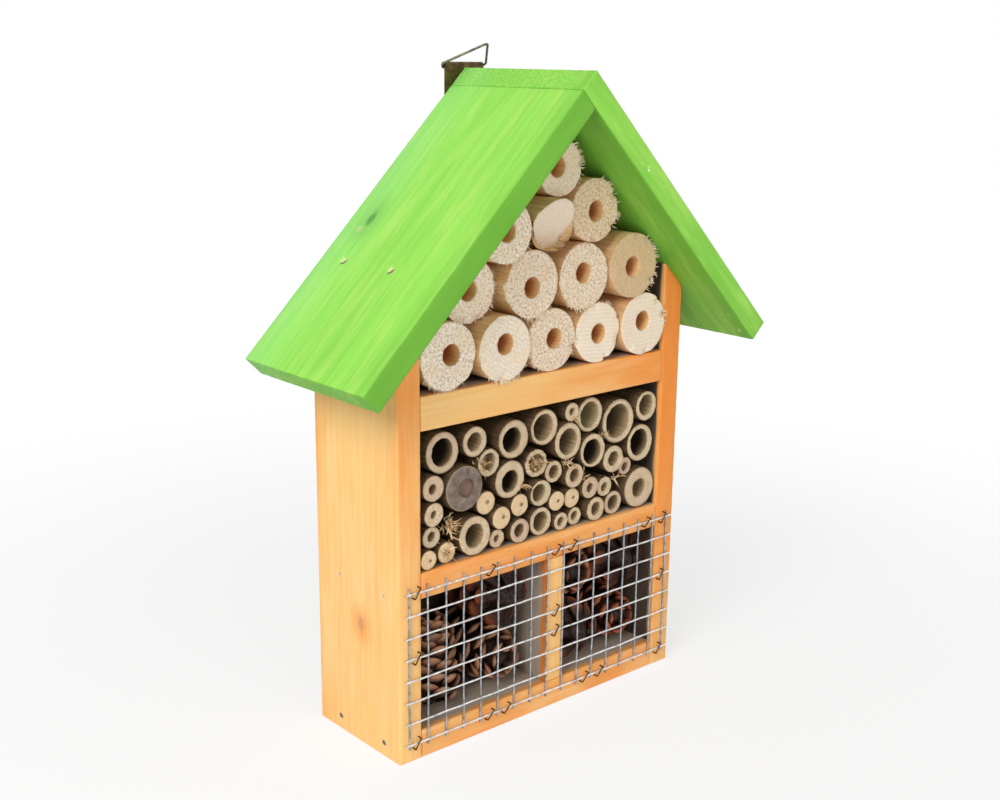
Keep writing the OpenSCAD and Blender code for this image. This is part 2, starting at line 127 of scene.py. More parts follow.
def surface(tree, base, rough, height, relief, strength, metallic=0.0, specular=0.4):
    bump = put(tree, "ShaderNodeBump", {"Height": height, "Strength": strength, "Distance": relief})
    shader = put(tree, "ShaderNodeBsdfPrincipled",
                 {"Base Color": base, "Roughness": rough, "Metallic": metallic,
                  "Specular IOR Level": specular, "Normal": bump})
    put(tree, "ShaderNodeOutputMaterial", {"Surface": shader})


def uneven(tree, value, by, share):
    return calc(tree, "MULTIPLY_ADD", by, share, calc(tree, "SUBTRACT", value, share / 2))


def stained_softwood(name, thin, thick, deep, streaked, streak_share, bare_light, bare_dark, knot_shade):
    material, tree = fresh(name)
    grain = carried(tree, "grain", "Vector")
    knot = carried(tree, "knot")

    def drawn_out(share, scale, detail=4.0):
        return speckle(tree, stretched(tree, grain, (share, 1.0, 1.0)), scale, detail)

    wander = drawn_out(0.12, 60.0, 2.0)
    phase = calc(tree, "MULTIPLY_ADD", wander, 18.0, times(tree, knot, 7.0))
    lines = put(tree, "ShaderNodeTexWave",
                {"Vector": stretched(tree, grain, (0.05, 1.0, 1.0)), "Scale": 80.0, "Distortion": 3.0,
                 "Detail": 2.0, "Detail Scale": 0.4, "Phase Offset": phase},
                wave_type="RINGS", rings_direction="X").outputs["Fac"]
    fibre = drawn_out(0.02, 1500.0)
    pore = drawn_out(0.12, 3000.0, 2.0)
    strip = drawn_out(0.05, 480.0, 2.0)
    band = drawn_out(0.17, 130.0, 3.0)
    cloud = drawn_out(0.4, 42.0, 3.0)
    late = times(tree, remap(tree, lines, 0.55, 1.0), remap(tree, cloud, 0.35, 0.65, 0.25, 1.0))
    depth = uneven(tree, uneven(tree, carried(tree, "coat"), cloud, 1.0), fibre, 0.4)
    stained = mixed(tree, remap(tree, depth, 0.0, 1.0), thin, thick)
    stained = mixed(tree, remap(tree, depth, 0.9, 1.7, 0.0, 0.9), stained, deep)
    calm = remap(tree, depth, 0.5, 1.1, 1.0, 0.15)
    broad = times(tree, remap(tree, band, 0.46, 0.74, 0.0, streak_share), calm)
    stained = mixed(tree, broad, stained, streaked)
    narrow = times(tree, remap(tree, strip, 0.5, 0.7, 0.0, 0.4 * streak_share), calm)
    stained = mixed(tree, narrow, stained, streaked)
    stained = mixed(tree, remap(tree, strip, 0.5, 0.34, 0.0, 0.35 * streak_share), stained, thick)
    stained = mixed(tree, times(tree, late, 0.12), stained, thick)
    stained = mixed(tree, remap(tree, pore, 0.56, 0.74, 0.0, 0.2), stained, thick)
    # Painted light: a paler bluish green laid over the roof towards the back, where the light falls
    # differently.
    painted_light_tint = times(tree, carried(tree, "painted_light_tint"), remap(tree, cloud, 0.3, 0.7, 0.6, 1.0))
    stained = mixed(tree, painted_light_tint, stained, "A0EC98")
    open_end = times(tree, carried(tree, "end"), remap(tree, fibre, 0.52, 0.4, 0.0, 0.6))
    stained = mixed(tree, open_end, stained, deep)
    plain = mixed(tree, times(tree, late, 0.4), bare_light, bare_dark)
    plain = mixed(tree, remap(tree, fibre, 0.35, 0.65, 0.4, 0.0), plain, bare_dark)
    # Painted shade: bare inner faces are darkened towards near black brown further back inside.
    plain = mixed(tree, times(tree, carried(tree, "painted_shade"), 0.88), plain, "30231A")
    ragged = uneven(tree, carried(tree, "stain"), fibre, 0.5)
    base = mixed(tree, remap(tree, ragged, 0.25, 0.75), plain, stained)
    rubbed = uneven(tree, carried(tree, "wear"), pore, 0.7)
    base = mixed(tree, remap(tree, rubbed, 0.4, 0.7, 0.0, 0.45), base, streaked)
    base = mixed(tree, times(tree, knot, remap(tree, pore, 0.3, 0.6, 0.9, 0.55)), base, knot_shade)
    for flaw, shade in (("filler", "E9C9A6"), ("pit", "55301A"), ("chip", "EEF0D2")):
        base = mixed(tree, carried(tree, flaw), base, shade)
    height = calc(tree, "ADD", times(tree, fibre, 0.7), times(tree, late, 0.2))
    surface(tree, base, remap(tree, fibre, 0.3, 0.7, 0.66, 0.52), height, 0.00016, 0.3, specular=0.3)
    return material


def carry(mesh, name, values):
    values = np.asarray(values, np.float32)
    kind, field = ("FLOAT", "value") if values.ndim == 1 else ("FLOAT_VECTOR", "vector")
    mesh.attributes.new(name, kind, "POINT").data.foreach_set(field, values.ravel())


def mesh_from(name, points, faces, values):
    mesh = bpy.data.meshes.new(name)
    mesh.from_pydata([tuple(p) for p in points], [], faces)
    for key, numbers in values.items():
        carry(mesh, key, numbers)
    return mesh


def linked(name, data):
    made = bpy.data.objects.new(name, data)
    bpy.context.scene.collection.objects.link(made)
    return made


def piece_from(name, points, faces, material, values):
    mesh = mesh_from(name, points, faces, values)
    mesh.shade_smooth()
    mesh.materials.append(material)
    return linked(name, mesh)


def belongs(made, body, slot, *nodes):
    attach(made, body)
    if nodes:
        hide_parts(*nodes)


def board_grid(size, ease, cell, extra):
    marks = []
    for axis in range(3):
        e, inner = ease[axis], size[axis] - 2 * ease[axis]
        count = max(1, round(inner / cell))
        row = [0.0, 0.3 * e, 0.65 * e] + [e + inner * k / count for k in range(count + 1)]
        row += [size[axis] - 0.65 * e, size[axis] - 0.3 * e, size[axis]]
        for mark in extra[axis]:
            if min(abs(mark - r) for r in row) > 0.15 * MM:
                row.append(mark)
        marks.append(sorted(row))
    index, points, faces = {}, [], []

    def corner(place):
        if place not in index:
            index[place] = len(points)
            points.append([marks[k][place[k]] for k in range(3)])
        return index[place]

    for axis in range(3):
        a, b = (axis + 1) % 3, (axis + 2) % 3
        for side in (0, len(marks[axis]) - 1):
            for i in range(len(marks[a]) - 1):
                for j in range(len(marks[b]) - 1):
                    quad = []
                    for p, q in ((i, j), (i + 1, j), (i + 1, j + 1), (i, j + 1)):
                        place = [0, 0, 0]
                        place[axis], place[a], place[b] = side, p, q
                        quad.append(corner(tuple(place)))
                    faces.append(quad[::-1] if side == 0 else quad)
    return np.array(points), faces


def smooth_step(x):
    x = np.clip(x, 0.0, 1.0)
    return x * x * (3 - 2 * x)


wave_depth, wear_depth, rim_width = 0.05 * MM, 0.35 * MM, 14 * MM
# Where the grid lines run round a nail mark, knot or chip, in shares of its radius.
# A mark is its place, the axis and side it faces, its radius, its depth and how dark it is.
# A knot is its place, axis and radius, and a chip has its depth too. A coat is how thick the
# stain lies on the flat faces, the front edge, towards the rims and on the underside.
fine_lines = (-1.3, -0.9, -0.5, -0.2, 0.1, 0.4, 0.8, 1.2)


def planed_board(name, size, along, seed, material, place, coat, stain=None, marks=(), knots=(),
                 chips=(), fade=(0.0, 0.0), end_coat=(0.2, 0.2), long_ease=0.8 * MM,
                 end_ease=0.5 * MM, cell=2.2 * MM):
    ease = np.array([long_ease] * 3)
    ease[along] = end_ease
    extra = [[], [], []]
    fine_spots = [(m[0], m[1], m[3]) for m in marks] + list(knots) + [c[:3] for c in chips]
    for point, axis, radius in fine_spots:
        for k in range(3):
            if k != axis:
                lines = [point[k] + share * radius for share in fine_lines]
                extra[k] += [line for line in lines if 0 < line < size[k]]
    points, faces = board_grid(size, ease, cell, extra)
    inner = np.clip(points, ease, np.array(size) - ease)
    out = (points - inner) / ease
    reach = np.linalg.norm(out, axis=1, keepdims=True)
    points = inner + ease * out / reach
    normal = out / reach
    edge = np.clip((reach[:, 0] - 1) / 0.41, 0, 1)
    stretch = np.array([90.0, 90.0, 90.0])
    stretch[along] = 14.0
    wave = np.array([noise.noise(Vector(p * stretch) + Vector((seed, 0, 0))) for p in points])
    nick = np.array([noise.noise(Vector(p * 260.0) + Vector((0, seed, 0))) for p in points])
    points = points + normal * (wave_depth * wave)[:, None]
    worn = edge * smooth_step((nick + 0.1) / 0.7)
    points = points - normal * (wear_depth * worn)[:, None]
    flat_coat, front_coat, rim_coat, under_coat = coat
    front = smooth_step((-normal[:, 1] - 0.2) / 0.6)
    under = smooth_step((-normal[:, 2] - 0.2) / 0.6)
    run_share = points[:, along] / size[along]
    front_coat = front_coat + fade[0] + (fade[1] - fade[0]) * run_share
    ends = smooth_step((np.abs(normal[:, along]) - 0.4) / 0.5)
    rim = 1 - smooth_step(np.minimum(points[:, 1], size[1] - points[:, 1]) / rim_width)
    coated = flat_coat + (front_coat - flat_coat) * front + rim_coat * rim * (1 - front)
    coated = coated + under_coat * under
    coated = coated + ends * np.where(run_share < 0.5, end_coat[0], end_coat[1])
    filler, pit, knot, chip = (np.zeros(len(points)) for _ in range(4))
    for point, axis, sign, radius, depth, dark in marks:
        facing = normal[:, axis] * sign > 0.7
        flat = [k for k in range(3) if k != axis]
        away = points[:, flat] - np.array(point)[flat]
        far = np.linalg.norm(away, axis=1)
        points[:, axis] -= sign * depth * facing * smooth_step(1.35 - far / radius)
        filling = 0.75 * min(1.0, depth / (0.25 * MM))
        filler = np.maximum(filler, filling * facing * smooth_step(1.6 * (1.1 - far / radius)))
        off = np.linalg.norm(away - 0.45 * radius * np.array([math.cos(seed), math.sin(seed)]), axis=1)
        pit = np.maximum(pit, dark * facing * smooth_step(1.8 * (0.8 - off / radius)))
    for point, axis, radius in knots:
        run = np.ones(3)
        run[along] = 1.7
        far = np.linalg.norm((points - np.array(point)) / run, axis=1) / radius
        knot = np.maximum(knot, smooth_step(1.5 * (1.2 - far)))
        coated = coated + 0.6 * smooth_step(1.15 - far / 4)
    for point, axis, radius, depth in chips:
        far = np.linalg.norm(points - np.array(point), axis=1)
        points = points - normal * (depth * smooth_step(1.3 - far / radius))[:, None]
        chip = np.maximum(chip, smooth_step(2 * (1.1 - far / radius)))
    order = [along, (along + 1) % 3, (along + 2) % 3]
    grain = points[:, order] + np.array([0.37 * seed, 0.021 * (seed % 5), 0.028 + 0.006 * (seed % 4)])
    tone, painted_shade = stain(points, normal) if stain else (np.ones(len(points)), np.zeros(len(points)))
    return piece_from(name, place(points), faces, material,
                      {"grain": grain, "stain": tone, "painted_shade": painted_shade, "coat": coated, "end": ends,
                       "wear": worn, "filler": filler, "pit": pit, "knot": knot, "chip": chip})


orange_wood = stained_softwood("orange_stain", thin="F3C37B", thick="EC8F3C", deep="D8701F",
                               streaked="F9D79C", streak_share=0.35, bare_light="C6B6A4",
                               bare_dark="8C7A68", knot_shade="B7916C")
nail_rows = (-18.5 * MM, 14.5 * MM)
nail_mark = 1.7 * MM
shelf_nodes = ("floor_board", "lower_shelf", "upper_shelf")
shelf_boxes = {node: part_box(node) for node in shelf_nodes}
nail_heights = [(low.z + high.z) / 2 for low, high in shelf_boxes.values()]


def sprayed(hidden, seed, reach, painted_shade, painted_shade_from, painted_shade_over):
    def tone(points, normal):
        inside = np.zeros(len(points))
        for axis, sign in hidden:
            inside = np.maximum(inside, smooth_step((normal[:, axis] * sign - 0.3) / 0.5))
        drift = np.array([noise.noise(Vector(p * 60.0) + Vector((seed, seed, 0))) for p in points])
        deep = smooth_step((points[:, 1] - 1.5 * MM) / (reach * (1 + 0.5 * drift)))
        # Painted shade: the second value darkens the bare inner faces further back inside.
        dark = painted_shade * smooth_step((points[:, 1] - painted_shade_from) / painted_shade_over)
        return 1 - inside * deep, inside * dark
    return tone


def set_at(corner):
    return lambda points: points + np.array(corner)


# The fade deepens the stain on the front edge towards the top; on the right panel this is painted shade
# under the roof.
for sign, node, seed, coat, fade in ((-1, "side_panel_left", 3, (0.02, 0.4, 0.22, 0.0), (-0.35, 0.35)),
                                     (1, "side_panel_right", 8, (0.2, 0.6, 0.2, 0.0), (-0.3, 0.7))):
    low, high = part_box(node)
    size = tuple(high - low)
    outer = 0.0 if sign < 0 else size[0]

    def sloped(points, low=low, size=size, sign=sign):
        run = points[:, 0] if sign < 0 else size[0] - points[:, 0]
        top = size[2] - size[0] + run
        points = points.copy()
        points[:, 2] *= top / size[2]
        return points + np.array(low)

    marks = [((outer, y - low.y, z), 0, sign, nail_mark, 0.25 * MM, 0.8 if z < 20 * MM else 0.35)
             for y in nail_rows for z in nail_heights[:2]]
    knots = [((outer, 28 * MM, 61 * MM), 0, 2.2 * MM)]
    inside = sprayed([(0, -sign)], seed, 2.5 * MM, painted_shade=1.0, painted_shade_from=-5.0 * MM, painted_shade_over=4.0 * MM)
    panel = planed_board(node + "_board", size, 2, seed, orange_wood, sloped, coat, inside, marks, knots,
                         fade=fade)
    belongs(panel, "house", "orange_wood", node)

# On the floor the fade stains the front edge deeper as painted shade, since less light reaches it low
# down.
for node, hidden, seed, pale, fade in (("floor_board", [(2, 1)], 12, 17.0 * MM, (0.5, 0.7)),
                                       ("lower_shelf", [(2, 1), (2, -1)], 17, 2.0 * MM, (0.6, 0.8)),
                                       ("upper_shelf", [(2, 1), (2, -1)], 21, 4.0 * MM, (-0.15, 0.75))):
    low, high = shelf_boxes[node]
    inside = sprayed(hidden, seed, 3.0 * MM, painted_shade=0.95, painted_shade_from=pale, painted_shade_over=8.0 * MM)
    shelf = planed_board(node + "_plank", tuple(high - low), 0, seed, orange_wood, set_at(low),
                         (0.3, 0.0, 0.3, 0.0), inside, fade=fade)
    belongs(shelf, "house", "orange_wood", node)

low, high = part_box("divider")
inside = sprayed([(0, 1), (0, -1)], 26, 4.0 * MM, painted_shade=0.6, painted_shade_from=10.0 * MM, painted_shade_over=12.0 * MM)
divider = planed_board("divider_plank", tuple(high - low), 2, 26, orange_wood, set_at(low),
                       (0.7, 0.15, 0.3, 0.0), inside)
belongs(divider, "house", "orange_wood", "divider")

# Back panel: one thin bare board let in between the side panels behind the shelves.
# It follows the gable up to the roof and is nailed into the back edges of the shelves,
# and its inner side is painted dark brown as painted shade behind the filling.
low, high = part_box("back_panel")
back_size = tuple(high - low)


def gable(points, low=low, size=back_size):
    top = size[2] - np.abs(points[:, 0] - size[0] / 2)
    points = points.copy()
    points[:, 2] *= top / size[2]
    return points + np.array(low)


# The plain colours here paint the inner face near black brown: painted shade behind the cones and reeds.
back_wood = stained_softwood("bare_back_painted_shade", thin="CDB68F", thick="A98C62", deep="8F7048",
                             streaked="BFA57C", streak_share=0.4, bare_light="4A3826",
                             bare_dark="2C2016", knot_shade="8A6A44")
back_nail_x = 45.26 * MM
marks = [((x - low.x, back_size[1], z * back_size[2] / (back_size[2] - abs(x))), 1, 1, nail_mark,
          0.7 * MM, 0.9) for x in (-back_nail_x, back_nail_x) for z in nail_heights]
back = planed_board("back_panel_board", back_size, 2, 31, back_wood, gable, (0.3, 0.3, 0.0, 0.0),
                    lambda points, normal: (smooth_step((normal[:, 1] + 0.7) / 0.6), 0 * normal[:, 1]),
                    marks, long_ease=0.5 * MM, end_ease=0.4 * MM, cell=3.0 * MM)
belongs(back, "house", "plain_wood", "back_panel")

# Roof boards: two planed softwood boards at 45 degrees, stained bright green before assembly.
# The left one butts under the right one at the ridge, and the grain runs down the slopes.
# They are nailed to the side panels and to each other.
green_wood = stained_softwood("green_stain", thin="8ED650", thick="70B238", deep="5C9C2A",
                              streaked="B2DE66", streak_share=0.55, bare_light="D8D3A8",
                              bare_dark="9FA070", knot_shade="3E7A26")
roof_t, roof_len = 11.0 * MM, 168.0 * MM
low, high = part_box("roof_board_right")
ridge_z, roof_y0, roof_d = high.z, low.y, high.y - low.y
roof_nail_x = 79.0 * MM
ridge_nail_rows = (12 * MM, 37 * MM, 62 * MM)


def on_slope(sign, start):
    turn = np.array(Euler((0, math.radians(45), 0)).to_matrix())

    def place(points):
        moved = (points + np.array([start, 0, -roof_t])) @ turn.T
        moved[:, 0] *= sign
        return moved + np.array([0, roof_y0, ridge_z])
    return place


roof_chips = [((52.8 * MM, 0, 4.6 * MM), 1, 0.6 * MM, 0.3 * MM),
              ((47.4 * MM, 0, 3.7 * MM), 1, 0.3 * MM, 0.2 * MM),
              ((52.0 * MM, 0, 5.4 * MM), 1, 0.35 * MM, 0.2 * MM),
              ((66 * MM, 0, 7.3 * MM), 1, 0.3 * MM, 0.2 * MM),
              ((150 * MM, 6 * MM, 0), 2, 0.5 * MM, 0.2 * MM),
              ((161 * MM, 5 * MM, 0), 2, 0.6 * MM, 0.2 * MM),
              ((162.2 * MM, 5.6 * MM, 0), 2, 0.45 * MM, 0.2 * MM)]
for sign, node, start, seed, front in ((-1, "roof_board_left", roof_t, 5, 1.25),
                                       (1, "roof_board_right", 0.0, 9, 0.5)):
    size = (roof_len - start, roof_d, roof_t)
    marks = [((roof_nail_x * math.sqrt(2) - start, y - roof_y0, roof_t), 2, 1, 2.0 * MM, 0.9 * MM, 1.0)
             for y in nail_rows]
    knots = []
    if sign < 0:
        marks.append(((84 * MM, 74 * MM, roof_t), 2, 1, 2.2 * MM, 0.1 * MM, 0.0))
        knots.append(((78 * MM, 71 * MM, roof_t), 2, 2.4 * MM))
    else:
        marks += [((roof_t / 2, y, roof_t), 2, 1, nail_mark, 0.3 * MM, 0.8) for y in ridge_nail_rows]
    board = planed_board(node + "_plank", size, 0, seed, green_wood, on_slope(sign, start),
                         (0.12, front, 0.35, 0.6), None, marks, knots, roof_chips if sign > 0 else [],
                         end_coat=(0.12, 0.5), long_ease=0.6 * MM)
    if sign < 0:
        board.data.flip_normals()
    # Painted light: the roof is tinted paler and bluer towards the back.
    behind = np.array([v.co.y for v in board.data.vertices])
    carry(board.data, "painted_light_tint", 0.38 * smooth_step((behind + 8 * MM) / (42 * MM)))
    belongs(board, "house", "green_wood", node)

# Nails: plain round nails of steel wire, driven flush through the sides into the shelf ends,
# through the floor and lower shelf into the divider, through the back panel and the roof.
def object_place(tree):
    return put(tree, "ShaderNodeTexCoord").outputs["Object"]


def ramp(tree, value, stops):
    node = put(tree, "ShaderNodeValToRGB", {0: value})
    while len(node.color_ramp.elements) < len(stops):
        node.color_ramp.elements.new(0.5)
    for element, (place, shade) in zip(node.color_ramp.elements, stops):
        element.position = place
        element.color = colour(shade)
    return node.outputs[0]


def mottled(name, stops, scale, detail, rough, strength, metallic=0.0, specular=0.4, grit=None):
    material, tree = fresh(name)
    place = object_place(tree)
    spot = speckle(tree, place, scale, detail)
    height = speckle(tree, place, grit, 2.0) if grit else spot
    if isinstance(rough, tuple):
        rough = remap(tree, spot, 0.3, 0.7, *rough)
    surface(tree, ramp(tree, spot, stops), rough, height, 0.0001, strength, metallic, specular)
    return material


steel = mottled("nail_steel", [(0.35, "4A3B2C"), (0.6, "85807A")], 1800.0, 4.0,
                rough=(0.6, 0.4), strength=0.4, metallic=0.8)
socket_kinds = {int: "NodeSocketInt", float: "NodeSocketFloat", tuple: "NodeSocketVector"}


def node_group(name, inputs):
    tree = bpy.data.node_groups.new(name, "GeometryNodeTree")
    tree.interface.new_socket("Geometry", in_out="INPUT", socket_type="NodeSocketGeometry")
    for label, value in inputs.items():
        socket = tree.interface.new_socket(label, in_out="INPUT", socket_type=socket_kinds[type(value)])
        socket.default_value = value
    tree.interface.new_socket("Geometry", in_out="OUTPUT", socket_type="NodeSocketGeometry")
    return tree, put(tree, "NodeGroupInput").outputs


def node_group_end(tree, geometry, material):
    whole = put(tree, "GeometryNodeRealizeInstances", {"Geometry": geometry})
    dressed = put(tree, "GeometryNodeSetMaterial", {"Geometry": whole, "Material": material})
    put(tree, "NodeGroupOutput", {"Geometry": dressed})


def named(tree, name, kind="FLOAT"):
    return put(tree, "GeometryNodeInputNamedAttribute", {"Name": name}, data_type=kind).outputs[0]


def xyz(tree, parts):
    return put(tree, "ShaderNodeCombineXYZ", parts)


def joined(tree, *parts):
    whole = put(tree, "GeometryNodeJoinGeometry")
    for part in parts:
        tree.links.new(part.outputs[0], whole.inputs[0])
    return whole


def set_on_points(tree, given, item, turned, scale=(1, 1, 1)):
    points = put(tree, "GeometryNodeMeshToPoints", {"Mesh": given["Geometry"]})
    return put(tree, "GeometryNodeInstanceOnPoints",
               {"Points": points, "Instance": item, "Rotation": turned, "Scale": scale})


def grown(name, tree, points, values, inputs=None, faces=()):
    host = linked(name, mesh_from(name, points, faces, values))
    modifier = host.modifiers.new("grow", "NODES")
    modifier.node_group = tree
    for item in tree.interface.items_tree:
        if item.in_out == "INPUT" and item.name in (inputs or {}):
            modifier[item.identifier] = inputs[item.name]
    bpy.context.view_layer.update()
    graph = bpy.context.evaluated_depsgraph_get()
    made = bpy.data.meshes.new_from_object(host.evaluated_get(graph),
                                           preserve_all_data_layers=True, depsgraph=graph)
    host.modifiers.clear()
    host.data = made
    made.name = name
    return host


tree, given = node_group("driven_nails", {"Head Radius": 1.4 * MM, "Head Height": 0.5 * MM,
                                          "Shank Radius": 0.8 * MM, "Shank Length": 12 * MM})
crown = put(tree, "GeometryNodeMeshCone",
            {"Vertices": 20, "Radius Top": times(tree, given["Head Radius"], 0.78),
             "Radius Bottom": given["Head Radius"], "Depth": given["Head Height"]})
shank = put(tree, "GeometryNodeMeshCylinder",
            {"Vertices": 12, "Radius": given["Shank Radius"], "Depth": given["Shank Length"]})
down = xyz(tree, {"Z": times(tree, given["Shank Length"], -0.5)})
shank = put(tree, "GeometryNodeTransform", {"Geometry": shank, "Translation": down})
aim = put(tree, "FunctionNodeAlignRotationToVector",
          {"Vector": named(tree, "axis", "FLOAT_VECTOR")}, axis="Z")
node_group_end(tree, set_on_points(tree, given, joined(tree, crown, shank), aim), steel)

sink, back_sink, roof_sink, ridge_sink = 0.55 * MM, 0.5 * MM, 1.6 * MM, 0.5 * MM
roof_slant = 0.35
left_x, right_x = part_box("side_panel_left")[0].x + sink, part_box("side_panel_right")[1].x - sink
side_points, side_axes = [], []
for y in nail_rows:
    for z in nail_heights:
        side_points += [(left_x, y, z), (right_x, y, z)]
        side_axes += [(-1, 0, 0), (1, 0, 0)]
divider_x = (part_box("divider")[0].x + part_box("divider")[1].x) / 2
shelf_top = shelf_boxes["lower_shelf"][1].z
divider_points = [(divider_x, y, z) for y in nail_rows for z in (sink, shelf_top - sink)]
divider_axes = [(0, 0, a) for _ in nail_rows for a in (-1, 1)]
back_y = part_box("back_panel")[1].y - back_sink
back_points = [(x, back_y, z) for x in (-back_nail_x, back_nail_x) for z in nail_heights]
roof_points, roof_axes = [], []
for y in nail_rows:
    for x in (-roof_nail_x, roof_nail_x):
        roof_points.append((x, y, ridge_z - abs(x) - roof_sink))
        roof_axes.append((roof_slant * (1 if x > 0 else -1), 0, 1))
lean = math.sqrt(0.5)
for y in ridge_nail_rows:
    step = (roof_t / 2 - ridge_sink) * lean
    roof_points.append((step, roof_y0 + y, ridge_z - step - 2 * ridge_sink * lean))
    roof_axes.append((lean, 0, lean))
for node, points, axes in (("side_nails", side_points, side_axes),
                           ("divider_nails", divider_points, divider_axes),
                           ("back_nails", back_points, [(0, 1, 0)] * len(back_points)),
                           ("roof_nails", roof_points, roof_axes)):
    belongs(grown(node + "_driven", tree, points, {"axis": axes}), "house", "nail_steel", node)

# Drilled sticks: round softwood rods sawn to length and stacked loose in the gable.
# All but the slanted one have a blind hole drilled in the front end, whose sawn face is
# rough and frayed.
def sawn_zones(tree):
    grain = carried(tree, "grain", "Vector")
    zone = carried(tree, "zone")
    off_end = calc(tree, "ABSOLUTE", calc(tree, "SUBTRACT", zone, 1.0))
    is_end, is_bore = remap(tree, off_end, 0.3, 0.7, 1.0, 0.0), remap(tree, zone, 1.4, 1.7)
    return grain, is_end, is_bore, put(tree, "ShaderNodeSeparateXYZ", {0: grain}).outputs["Y"]


stick_wood, tree = fresh("stick_wood")
grain, is_end, is_bore, inward = sawn_zones(tree)
coarse = carried(tree, "coarse")
streak = speckle(tree, stretched(tree, grain, (1.0, 0.03, 1.0)), 1100.0)
pores = speckle(tree, stretched(tree, grain, (1.0, 0.5, 1.0)), 950.0, 2.0, 0.6)
grit = speckle(tree, stretched(tree, grain, (1.0, 0.3, 1.0)), 2600.0, 2.0, 0.7)
patch = speckle(tree, grain, 110.0, 2.0)
bands = put(tree, "ShaderNodeTexWave",
            {"Vector": grain, "Scale": 170.0, "Distortion": 2.0, "Detail": 3.0, "Detail Scale": 0.5},
            wave_type="BANDS", bands_direction="X").outputs["Fac"]
side = ramp(tree, streak, [(0.32, "DCAC74"), (0.5, "E9BD88"), (0.7, "F3D2A6")])
open_face = ramp(tree, pores, [(0.37, "BE9A72"), (0.45, "E4CDB0"), (0.54, "F4E6D6"), (0.66, "FFF8EE")])
fine_face = ramp(tree, grit, [(0.34, "DCC6AC"), (0.5, "F0E1CD"), (0.68, "FAF1E4")])
fine_face = mixed(tree, remap(tree, bands, 0.35, 0.85, 0.0, 0.2), fine_face, "D2B491")
face = mixed(tree, coarse, fine_face, mixed(tree, 0.3, open_face, fine_face))
face = mixed(tree, remap(tree, patch, 0.45, 0.7, 0.0, 0.35), face, "EBD0A4")
# The end face is darkened by a share given per stick; on the ninth stick this is painted shade.
face = mixed(tree, carried(tree, "face_darkening"), face, mixed(tree, 1.0, face, "D8C2A2", "MULTIPLY"))
bore = ramp(tree, streak, [(0.3, "EDB46E"), (0.7, "FCD8A0")])
# Painted shade: the bore turns dark orange brown deeper in.
bore = mixed(tree, remap(tree, inward, 1 * MM, 10 * MM, 0.0, 0.85), bore, "C0641E")
base = mixed(tree, is_bore, mixed(tree, is_end, side, face), bore)
rough_end = calc(tree, "ADD", times(tree, pores, coarse), times(tree, grit, 0.4))
relief = mixed(tree, is_end, streak, rough_end)
surface(tree, base, 0.8, relief, 0.0005, 0.5, specular=0.15)


def ring_stack(rings, sides, change):
    points, faces = [], []
    for k, (cx, cz, y, radius) in enumerate(rings):
        for j in range(sides):
            angle = 2 * math.pi * j / sides
            spot = Vector((cx + radius * math.cos(angle), y, cz + radius * math.sin(angle)))
            points.append(change(k, angle, spot))
    for k in range(len(rings) - 1):
        for j in range(sides):
            a, b = k * sides + j, k * sides + (j + 1) % sides
            faces.append((a, b, b + sides, a + sides))
    for k, flip in ((0, True), (len(rings) - 1, False)):
        ring = points[k * sides:(k + 1) * sides]
        points.append(sum(ring, Vector()) / sides)
        centre = len(points) - 1
        for j in range(sides):
            a, b = k * sides + j, k * sides + (j + 1) % sides
            faces.append((b, a, centre) if flip else (a, b, centre))
    return points, faces


# The rim is how far back its two edges lie and the radius of the inner one. The counts are
# those of the rings on the skin, on the sawn face and in the bore.
def rod_rings(middle, ends, radius, rim, face_radius, hole, shift, hole_depth, counts, gather):
    (cx, cz), (y0, y1), (skin, face, bore) = middle, ends, counts
    rings = [(cx, cz, y1 + (y0 - y1) * k / skin, radius) for k in range(skin)]
    rings += [(cx, cz, y0 + rim[0], radius), (cx, cz, y0 + rim[1], rim[2])]
    for k in range(1, face + 1):
        t = k / face
        rings.append((cx + shift[0] * t, cz + shift[1] * t, y0, face_radius * (1 - t) + hole * t))
    for k in range(1, bore + 1):
        rings.append((cx + shift[0], cz + shift[1], y0 + hole_depth * (k / bore) ** gather, hole))
    return rings, [0.0] * (skin + 1) + [1.0] * (face + 1) + [2.0] * bore


def per_point(zones, sides):
    return [zone for zone in zones for _ in range(sides)] + [zones[0], zones[-1]]


stick_sides = 128
frays_each = 20
stick_hole = 4.75 * MM
stick_hole_depth = 45 * MM
slant = math.tan(math.radians(30))
# For each stick: how far its hole is off the middle, how coarse its end is, how much its end
# face is darkened, and at which angles it frays
sawn_ends = [((1.5, 0.5), 1.0, 0.0, (-2.2, -1.5)), ((0, 2), 0.45, 0.0, (-2.0, -1.5, -0.9)),
             ((1.5, 0.5), 1.0, 0.3, (-0.3, -2.4)), ((0.5, -0.5), 0.1, 0.0, (1.2,)),
             ((-0.5, 1.5), 0.15, 0.1, (0.2,)), ((0, 0), 0.9, 0.0, (0.2, -0.6)),
             ((0, -1.5), 1.0, 0.25, (-1.6, -1.2)), ((-0.5, 1.5), 1.0, 0.3, (-1.7, -2.1)),
             ((-0.5, -0.5), 0.3, 0.85, (0.0, -0.4, 0.6)), ((0, 0), 1.0, 0.1, (-1.3, -0.9)),
             (None, 0.1, 0.15, (-0.9, -0.5, -1.3)), ((1, -0.5), 1.0, 0.6, (0.9, -0.2)),
             ((-1.5, 0.5), 0.5, 0.3, (0.3, 0.7, -0.1))]
rng = np.random.default_rng(41)
fray_points, fray_axes, fray_sizes = [], [], []
